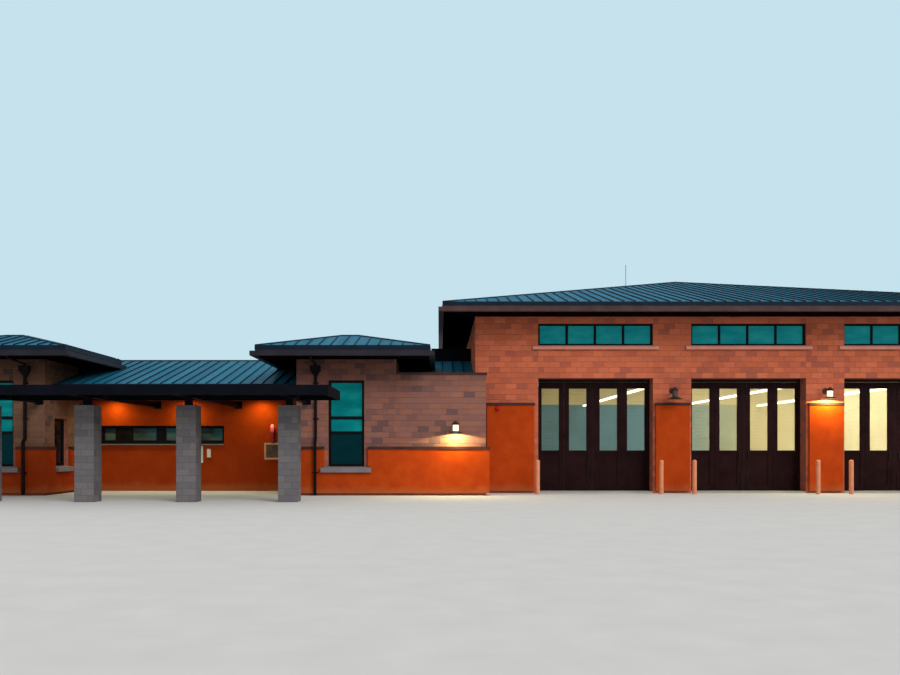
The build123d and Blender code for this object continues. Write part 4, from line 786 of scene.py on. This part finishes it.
glass = Finish("tinted_glass", 0.08, specular=0.5)
glass.set(Specular_Tint=colour(50, 190, 200), Transmission_Weight=0.06, IOR=1.5)
x, y, z = glass.split()
facing = glass.facing()
ripple = glass.noise(1.6, 4, 0.6, vector=glass.stretched(1.2, 1.2, 3.2))
# Painted reflections: these tones stand for what the glass mirrors
sky_reflection = glass.tones(ripple, (0.3, (5, 112, 118)), (0.52, (9, 130, 132)), (0.72, (30, 156, 148)))
high_reflection = glass.fade(ripple, (5, 138, 150), (44, 170, 170))
low_reflection = glass.fade(ripple, (3, 14, 20), (6, 27, 33))
ribbon_reflection = glass.fade(ripple, (40, 52, 52), (76, 90, 87))
side_reflection = glass.fade(ripple, (4, 10, 12), (10, 26, 30))
low_down = glass.below(z, 1.105)
set_back = glass.above(y, tower_back)
in_ribbon = glass.maths("MULTIPLY", set_back, glass.below(z, 1.3))
sideways = glass.above(glass.maths("ABSOLUTE", facing[0]), 0.5)
high_up = glass.above(z, 2.6)
shade = glass.mix(high_up, sky_reflection, high_reflection)
shade = glass.mix(low_down, shade, low_reflection)
shade = glass.mix(in_ribbon, shade, ribbon_reflection)
glass.set(Base_Color=glass.mix(sideways, shade, side_reflection))
glass.raise_surface(glass.noise(2.5, 2), 0.004, 0.3)
glass.dress("window_glass")


def bead_ring(width, height, bar=0.009, depth=0.007):
    # A mitred bead frame, standing on the street side of the plane Y = 0
    bpy.ops.mesh.primitive_plane_add(size=1, rotation=(math.radians(90), 0, 0))
    ring = newest()
    ring.scale = (width, height, 1)
    bpy.ops.object.transform_apply()
    editing(ring)
    bpy.ops.mesh.select_all(action="SELECT")
    bpy.ops.mesh.inset(thickness=bar)
    bpy.ops.mesh.delete(type="FACE")
    bpy.ops.mesh.select_all(action="SELECT")
    extrude(0, -depth, 0)
    bpy.ops.mesh.select_all(action="SELECT")
    bpy.ops.mesh.normals_make_consistent(inside=False)
    done()
    modify(ring, "BEVEL", width=0.0018, segments=1, limit_method="ANGLE")
    return ring


def bead_places(centre, bottom, width, height, columns, rows=(), bar=0.028):
    # The middle and size of each pane in a frame of even lights, with transoms at the given levels
    pane_width = (width - bar) / columns - bar
    levels = [bottom, *[row - bar / 2 for row in rows], bottom + height - bar]
    for low, high in zip(levels[:-1], levels[1:]):
        pane_height = high - low - bar
        for column in range(columns):
            across = centre - width / 2 + bar + pane_width / 2 + column * (pane_width + bar)
            yield across, low + bar + pane_height / 2, pane_width, pane_height


def ribbon_places(centre):
    # The uneven panes of a ribbon window, between its wide posts: where each starts, and its width
    for start, width in ((0.067, 0.216), (0.616, 0.469), (1.262, 0.469), (1.908, 0.469)):
        yield centre - ribbon_half + start + width / 2, 1.1005, width, 0.251


def beads_on(facing, face, places):
    rings = []
    for across, level, width, height in places:
        spot = (across, face, level) if facing in ("street", "rear") else (face, across, level)
        rings.append(put(bead_ring(width, height), spot, (0, 0, turns[facing])))
    return rings


glass_back = 0.05 + 0.024
tower_bar = 0.036
beads = []
for x in bay_centres:
    places = list(bead_places(x, clerestory[0], 2 * bay_half, 4 * course, 4))
    beads += beads_on("street", -hall_half + glass_back, places)
    beads += beads_on("rear", hall_half - glass_back, places)
joined(beads, "clerestory_beads", dark_bronze)
beads = []
for west, east in towers.values():
    middle, width = (west + east) / 2, 2 * tower_window_half
    places = bead_places(middle, tower_window[0], width, 15 * course, 1, (1.105, 1.37), tower_bar)
    beads += beads_on("street", street_line + glass_back, places)
places = bead_places(side_opening_y, tower_window[0], 2 * side_window_half, 8.5 * course, 1, (1.13,), tower_bar)
beads += beads_on("east", porch_west - glass_back, places)
ribbon_start = porch_west + 0.352
beads += beads_on("street", entry_face + glass_back, ribbon_places(ribbon_start + ribbon_half))
beads += beads_on("rear", quarters_rear - glass_back, ribbon_places(rear_middle))
joined(beads, "window_beads", dark_bronze)

# FOUR-FOLD BAY DOORS
# Tube-framed steel leaves, maroon painted, hung in pairs from each jamb. Each has a tall light
# held by beads over a recessed panel, and the middle pair have D pulls and drop bolts.
door_paint = painted_metal("door_maroon", (33, 11, 12), 0.42, 6, specular=0.06)
door_paint.dress("bay_door_left", "bay_door_middle", "bay_door_right")
door_steel = painted_metal("door_frame_steel", (35, 16, 16), 0.45, 6, specular=0.06)
door_steel.dress("bay_door_frames", "bay_door_hinges")
clear = Finish("door_glass", 0.02)
clear.set(Base_Color=colour(226, 230, 226), Transmission_Weight=1.0, IOR=1.05)
smears = clear.noise(3, 5, 0.6, vector=clear.stretched(4, 4, 1.2))
clear.set(Roughness=clear.tones(smears, (0.4, 0.0), (0.8, 0.05)))
clear.dress("bay_door_glass")

leaf_face = -4.8121
leaf_panes = (-0.80835, -0.28945, 0.28945, 0.80835)
pane_width = 0.3449
# The beads of the light and of the panel: height, bar, depth, how far set back, middle
leaf_beads = ((1.1856, 0.01, 0.008, 0.0165, 1.3728), (0.612, 0.012, 0.009, 0.0135, 0.434))
beads = []
for x in bay_centres:
    for across in leaf_panes:
        for height, bar, depth, recess, level in leaf_beads:
            beads.append(put(bead_ring(pane_width, height, bar, depth), (x + across, leaf_face + recess, level)))
joined(beads, "door_beads", door_paint)

# Drop bolts and D pulls on the middle leaves, and a rubber sweep along each leaf's foot
bolt_offset, pull_offset, pull_level = 0.052, 0.085, 0.70
bolt_spans = ((0.05, 0.36), (1.76, 2.066))
leaf_spans = ((-1.0308, -0.5509), (-0.5469, -0.004), (0.004, 0.5469), (0.5509, 1.0308))
bolts, sweeps = [], []
for x in bay_centres:
    for side in (-1, 1):
        for low, high in bolt_spans:
            bpy.ops.mesh.primitive_cylinder_add(vertices=8, radius=0.005, depth=high - low)
            rod = modify(newest(), "BEVEL", width=0.0012, segments=1, limit_method="ANGLE")
            bolts.append(put(rod, (x + side * bolt_offset, leaf_face - 0.009, (low + high) / 2)))
            for level in (low + 0.05, high - 0.05):
                guide = box_piece((-0.013, -0.016, -0.008), (0.013, 0.0, 0.008), 0.002)
                bolts.append(put(guide, (x + side * bolt_offset, leaf_face, level)))
        pull = box_piece((-0.007, -0.027, -0.075), (0.007, -0.017, 0.075), 0.003)
        choose(pull, lambda middle, face: face.normal.y > 0.9)
        bpy.ops.mesh.inset(thickness=0.0005)
        done()
        feet = [box_piece((-0.009, -0.018, z - 0.012), (0.009, 0, z + 0.012), 0.002) for z in (-0.066, 0.066)]
        only(pull, *feet)
        bpy.ops.object.join()
        bolts.append(put(pull, (x + side * pull_offset, leaf_face, pull_level)))
    for low, high in leaf_spans:
        sweeps.append(box_piece((x + low, leaf_face - 0.004, 0.032), (x + high, leaf_face, 0.062), 0.0015))
hardware = painted_metal("door_hardware", (40, 36, 36), 0.35, 6, 0.5)
joined(bolts, "door_bolts_and_pulls", hardware)
rubber = painted_metal("sweep_rubber", (16, 14, 14), 0.8, 4)
joined(sweeps, "door_sweeps", rubber)


def domed_screw(radius, height):
    # A screw or bolt head that points to the street, its back on the plane Y = 0
    bpy.ops.mesh.primitive_cylinder_add(vertices=6, radius=radius, depth=height)
    head = put(newest(), (0, -height / 2, 0), (90, 0, 0))
    choose(head, lambda middle, face: face.normal.y < -0.9)
    bpy.ops.mesh.inset(thickness=radius * 0.4, depth=height * 0.25)
    choose(head, lambda middle, face: face.normal.y > 0.9)
    bpy.ops.mesh.delete(type="ONLY_FACE")
    done()
    return head


def copies_at(piece, places):
    # Copies a piece to every place, and takes the first away
    copies = [put(copy_of(piece), place) for place in places]
    bpy.data.objects.remove(piece)
    return copies


# Six screws hold each hinge
hinge_xs = (-1.0338, -0.5489, 0.5489, 1.0338)
hinge_levels = (0.298, 1.0578, 1.8176)
places = [
    (x + across + side, leaf_face - 0.0035, level + rise)
    for x in bay_centres for across in hinge_xs for level in hinge_levels
    for side in (-0.019, 0.019) for rise in (-0.03, 0.0, 0.03)
]
joined(copies_at(domed_screw(0.0045, 0.0025), places), "hinge_screws", hardware)

# HALL CEILING AND ITS STRIP LIGHTS
# A cream painted ceiling with rows of wrap-round fluorescent fittings, and hanging rows of the
# same kind. They are lit, and light the hall behind the doors.
cloudy("cream_paint", 0.8, [2], (222, 212, 180), (230, 221, 192), [60], 0.001).dress("hall_ceiling")
diffuser = Finish("lit_diffuser", 0.4)
milky = diffuser.fade(diffuser.noise(5), (255, 244, 210), (255, 250, 228))
diffuser.set(Base_Color=milky, Emission_Color=milky, Emission_Strength=3.0)
diffuser.dress("strip_lights")

# Four more rows hang from the ceiling on thin rods, beside and between the bays, so that they
# clear the folded doors. Each row is a run of lipped trays with a rounded diffuser below.
pendant_rows = (-3.78, -pier_x, pier_x, 3.78)
pendant_low, pendant_high = 2.075, 2.137
tray_length, tray_pitch, tray_count = 1.29, 1.3, 7
tray_start = -4.25
tray_half, lens_half, tray_depth = 0.04, 0.034, 0.018
rod_foot, ceiling_face = pendant_high + 0.006, 3.235
trays, lenses, rods = [], [], []
for row_x in pendant_rows:
    tray = box_piece(
        (row_x - tray_half, tray_start, pendant_high - tray_depth),
        (row_x + tray_half, tray_start + tray_length, pendant_high),
    )
    choose(tray, lambda middle, face: face.normal.z > 0.5)
    bpy.ops.mesh.inset(thickness=0.012)
    bpy.ops.transform.translate(value=(0, 0, 0.008))
    done()
    trays.append(row_of(tray, tray_count, (0, tray_pitch, 0)))
    lens = box_piece(
        (row_x - lens_half, tray_start + 0.01, pendant_low),
        (row_x + lens_half, tray_start + tray_length - 0.02, pendant_high - tray_depth),
    )
    choose(lens, lambda middle, edge: middle.z < pendant_low + 0.001 and abs(middle.x - row_x) > 0.03, "edges")
    bpy.ops.mesh.bevel(offset=0.014, segments=3)
    done()
    lenses.append(row_of(lens, tray_count, (0, tray_pitch, 0)))
    bpy.ops.mesh.primitive_cylinder_add(
        vertices=8, radius=0.004, depth=ceiling_face - rod_foot,
        location=(row_x, tray_start + 0.1, (ceiling_face + rod_foot) / 2),
    )
    rod = newest()
    choose(rod, lambda middle, face: abs(face.normal.z) > 0.5)
    bpy.ops.mesh.inset(thickness=0.001)
    bpy.ops.transform.resize(value=(2.2, 2.2, 1))
    done()
    put(rod, rod.location)
    rods.append(row_of(rod, 8, (0, 1.27, 0)))
white_enamel = painted_metal("white_enamel", (205, 205, 196), 0.35, 6)
joined(trays + rods, "pendant_trays", white_enamel)
joined(lenses, "pendant_lenses", diffuser)


def add_light(name, kind, place, energy, tint, **settings):
    # Light that falls on the walls but isn't seen itself
    data = bpy.data.lights.new(name, kind)
    data.energy = energy
    data.color = tint
    for key, value in settings.items():
        setattr(data, key, value)
    light = bpy.data.objects.new(name, data)
    bpy.context.collection.objects.link(light)
    light.location = place
    light.visible_camera = False
    light.visible_transmission = False
    light.visible_glossy = False


# The hall is lit most behind the right bay
for x, power in zip(bay_centres, (45, 130, 310)):
    add_light(
        "hall_glow", "AREA", (x, 0.0, 3.1), power, (1.0, 0.95, 0.84), shape="RECTANGLE", size=2.0, size_y=7.5
    )

# PORCH CANOPY
# Dark painted wide-flange beams on short posts, with purlins, a slotted deck and an edge channel.
# The posts are bolted down on the columns, and the beams end at bolted plates on the wall.
canopy_steel = painted_metal("canopy_steel", (9, 11, 19), 0.5, 4, specular=0.05)
canopy_steel.dress("canopy_posts", "canopy_beams", "canopy_purlins", "canopy_deck", "canopy_fascia")

base_bolt = 0.085
plate_half, plate_thick, plate_low, plate_high = 0.075, 0.008, 1.60, 1.74
plate_bolt_x, plate_bolt_levels = 0.06, (1.618, 1.722)
plates, wall_nut_places = [], []
for x in column_xs:
    wall_y = entry_face if porch_west < x < porch_east else street_line
    plate_y = wall_y - plate_thick
    plates.append(box_piece((x - plate_half, plate_y, plate_low), (x + plate_half, wall_y, plate_high), 0.002))
    wall_nut_places += [(x + side * plate_bolt_x, plate_y, z) for side in (-1, 1) for z in plate_bolt_levels]
nut_places = [
    (x + across, column_y + along, column_top + 0.005)
    for x in column_xs for across in (-base_bolt, base_bolt) for along in (-base_bolt, base_bolt)
]
bolts = copies_at(put(domed_screw(0.012, 0.013), turn=(-90, 0, 0)), nut_places)
bolts += plates + copies_at(domed_screw(0.009, 0.008), wall_nut_places)
joined(bolts, "canopy_bolts_and_plates", canopy_steel)

# DOWNSPOUTS
# Dark bronze pipes with leader heads on the street faces of the towers. Folded straps with wings
# hold them to the wall, and each head has two bands.
dark_bronze.dress("tower_downspouts")
pipe_xs = (-13.0525, -7.93)
collars = []
for x in pipe_xs:
    # Straps on the plain wall, and one over the band at the foot, where the pipe stands further out
    for level, pipe_y, wall_y in ((1.98, -5.923, street_line), (1.35, -5.923, street_line), (0.40, -5.997, -5.955)):
        low, high = level - 0.014, level + 0.014
        collars.append(box_piece((x - 0.026, pipe_y - 0.026, low), (x + 0.026, wall_y, high), 0.002))
        collars.append(box_piece((x - 0.052, wall_y - 0.004, low), (x + 0.052, wall_y, high), 0.001))
    for level, reach in ((2.272, 0.008), (2.2, 0.006)):
        side, front = 0.085 + reach, street_line - 0.096 - reach
        collars.append(box_piece((x - side, front, level - 0.009), (x + side, street_line, level + 0.009), 0.003))
joined(collars, "downspout_straps", dark_bronze)

# ALARM BELL AND BEACON
# A red enamelled gong with raised rings and a screw in its middle, on the stucco panel at the left
# end of the hall, and a red lamp over the plaque, whose lens glows above a darker body.
red_paint = painted_metal("signal_red", (186, 26, 18), 0.3, 10)
red_paint.dress("alarm_bell")
bell_x, bell_face, bell_level = -4.665, -5.14, 1.57
rings = []
for radius, thick, forward in ((0.044, 0.0035, 0.014), (0.026, 0.0028, 0.03)):
    bpy.ops.mesh.primitive_torus_add(major_segments=28, minor_segments=6, major_radius=radius, minor_radius=thick)
    rings.append(put(newest(), (bell_x, bell_face - forward, bell_level), (90, 0, 0)))
rings.append(put(domed_screw(0.007, 0.006), (bell_x, bell_face - 0.0365, bell_level)))
joined(rings, "bell_gong_rings", red_paint)

beacon = Finish("beacon_red", 0.3, specular=0.4)
z = beacon.split()[2]
haze = beacon.noise(20, 3)
body = beacon.fade(haze, (120, 12, 8), (146, 18, 12))
lens = beacon.fade(haze, (255, 92, 78), (255, 136, 120))
height_up = beacon.maths("SUBTRACT", z, 1.13)
glow = beacon.tones(beacon.maths("MULTIPLY", height_up, 6.0), (0.0, 0.0), (0.6, 0.35), (0.75, 1.0))
beacon.set(Base_Color=beacon.mix(glow, body, lens), Emission_Color=lens)
beacon.set(Emission_Strength=beacon.maths("MULTIPLY", glow, 1.6))
beacon.dress("beacon")

# PLAQUE AND WALL PLATES
# A bronze plaque with a pale rim and a raised square centre, left bare. Beside the ribbon window
# are a bare entry panel and its small reader, both white enamel.
plaque = Finish("plaque_bronze", 0.5, specular=0.3)
plaque_x, plaque_z = -9.0, 0.773
x, y, z = plaque.split()
offsets = [
    plaque.maths("ABSOLUTE", plaque.maths("SUBTRACT", along, centre))
    for along, centre in ((x, plaque_x), (z, plaque_z))
]
patina = plaque.noise(14, 5, 0.7)
pale = plaque.fade(patina, (196, 148, 104), (214, 168, 124))
dark = plaque.fade(patina, (62, 42, 33), (112, 84, 66))
on_rim = plaque.above(plaque.maths("MAXIMUM", *offsets), 0.125)
plaque.set(Base_Color=plaque.mix(on_rim, dark, pale))
plaque.raise_surface(patina, 0.001)
plaque.dress("plaque")
panel = box_piece(
    (plaque_x - 0.085, entry_face - 0.011, plaque_z - 0.085),
    (plaque_x + 0.085, entry_face - 0.0071, plaque_z + 0.085), 0.003,
)
choose(panel, lambda middle, face: face.normal.y < -0.9)
bpy.ops.mesh.inset(thickness=0.02)
bpy.ops.mesh.inset(thickness=0.004, depth=-0.0025)
done()
joined([panel], "plaque_centre", plaque)

plates = []
for centre, low, high, width, thick in ((-10.375, 0.547, 0.874, 0.045, 0.012), (-10.237, 0.65, 0.815, 0.075, 0.02)):
    plate = box_piece((centre - width / 2, entry_face - thick, low), (centre + width / 2, entry_face, high), 0.003, 2)
    choose(plate, lambda middle, face: face.normal.y < -0.9)
    bpy.ops.mesh.inset(thickness=0.008)
    bpy.ops.mesh.inset(thickness=0.002, depth=-0.0015)
    done()
    plates.append(plate)
joined(plates, "porch_wall_plates", white_enamel)

# LAMPS
# Barn lights with ribbed glass jars on the piers and the low wall, and round downlights in the
# porch soffit. All are lit but the one on the left pier.
painted_metal("lamp_bronze", (58, 46, 40), 0.4).dress("wall_lamps")
warm_lens = Finish("warm_lens", 0.4)
amber = warm_lens.fade(warm_lens.noise(8), (255, 214, 150), (255, 228, 176))
warm_lens.set(Base_Color=amber, Emission_Color=amber, Emission_Strength=2.5)
warm_lens.dress("soffit_downlights")
jar = Finish("jar_glass", 0.3, specular=0.4)
ribs = jar.noise(3, 3, vector=jar.stretched(40, 40, 4))
milk = jar.fade(ribs, (248, 226, 186), (255, 244, 214))
lit = jar.above(jar.maths("ABSOLUTE", jar.maths("ADD", jar.split()[0], pier_x)), 0.2)
shade = jar.mix(lit, colour(70, 60, 52), milk)
jar.set(Base_Color=shade, Emission_Color=milk, Emission_Strength=jar.maths("MULTIPLY", lit, 1.1))
jar.dress("lamp_glass")
warm = (1.0, 0.9, 0.38)
downlight_xs = (-12.03, -10.64, -9.2)
for x in downlight_xs:
    add_light(
        "downlight", "SPOT", (x, -4.56, 1.80), 30, warm,
        spot_size=math.radians(168), spot_blend=1.0, shadow_soft_size=0.03,
    )
for x, face, rim, power in ((-5.4646, street_line, 1.088, 46), (pier_x, -hall_half, 1.735, 60)):
    add_light("lamp_glow", "POINT", (x, face - 0.202, rim + 0.028), power, warm, shadow_soft_size=0.01)

# BOLLARDS AND ROOF MAST
# Cream painted steel posts at the jambs of the bays, scuffed at the foot, and a galvanized mast
# on the left of the hall's peak, which stands in a rubber boot.
bollard = Finish("bollard_cream", 0.4)
scuffs = bollard.noise(4, 6, 0.75, vector=bollard.stretched(20, 20, 5))
cream = bollard.fade(bollard.noise(9), (210, 130, 96), (222, 144, 108))
low_down = bollard.tones(bollard.split()[2], (0.0, 0.8), (0.45, 0.0))
scuffed = bollard.maths("MULTIPLY", low_down, bollard.tones(scuffs, (0.5, 0.0), (0.62, 0.8)))
bollard.set(Base_Color=bollard.mix(scuffed, cream, colour(120, 98, 80)))
bollard.raise_surface(scuffs, 0.0008)
bollard.dress("bollards")
painted_metal("galvanized_steel", (120, 122, 124), 0.4, 10, 0.8).dress("roof_mast")
bpy.ops.mesh.primitive_cone_add(vertices=16, radius1=0.05, radius2=0.011, depth=0.09, location=(-1.2, 0, 4.612))
boot = newest()
choose(boot, lambda middle, face: face.normal.z > 0.9)
bpy.ops.mesh.inset(thickness=0.002)
bpy.ops.transform.translate(value=(0, 0, 0.012))
done()
put(boot, boot.location)
joined([boot], "mast_boot", rubber)

# CAMERA, LIGHT AND FLOOR
# The camera of the photograph, at eye height across the street, a pale floor, and soft light from
# the whole sky with one broad key.
bpy.context.scene.view_settings.view_transform = "Standard"
camera_data = bpy.data.cameras.new("street_camera")
camera = bpy.data.objects.new("street_camera", camera_data)
bpy.context.collection.objects.link(camera)
camera.location = (-5.755, -21.345, 0.835)
camera.rotation_euler = (math.radians(90), 0, 0)
camera_data.lens = 35
camera_data.sensor_width = 36
camera_data.shift_x = 0.0122
camera_data.shift_y = 0.1228
camera_data.clip_end = 200
bpy.context.scene.camera = camera

bpy.ops.mesh.primitive_plane_add(size=160, location=(-5, 0, -0.002))
floor = newest()
floor.name = "studio_floor"
floor.data.materials.append(cloudy("pale_floor", 0.9, (3.0, 4), (206, 206, 204), (212, 212, 210)).material)

# A pale grey backdrop lights the scene, and shows as soft sky blue to the camera and in the glass
world = bpy.data.worlds.new("studio")
bpy.context.scene.world = world
world.use_nodes = True
studio = Network(world.node_tree)
rays = studio.node("LightPath").outputs
seen = studio.maths("MAXIMUM", rays["Is Camera Ray"], rays["Is Transmission Ray"])
shown = studio.maths("MAXIMUM", seen, rays["Is Glossy Ray"])
backdrop = world.node_tree.nodes["Background"].inputs
studio.plug(backdrop["Strength"], 1.0)
studio.plug(backdrop["Color"], studio.mix(shown, (0.62, 0.62, 0.62, 1.0), (0.56, 0.76, 0.85, 1.0)))

sun_data = bpy.data.lights.new("soft_key", "SUN")
sun_data.energy = 1.75
sun_data.angle = math.radians(35)
sun = bpy.data.objects.new("soft_key", sun_data)
bpy.context.collection.objects.link(sun)
sun.rotation_euler = Vector((0.6, -0.76, 0.7)).to_track_quat("Z", "Y").to_euler()
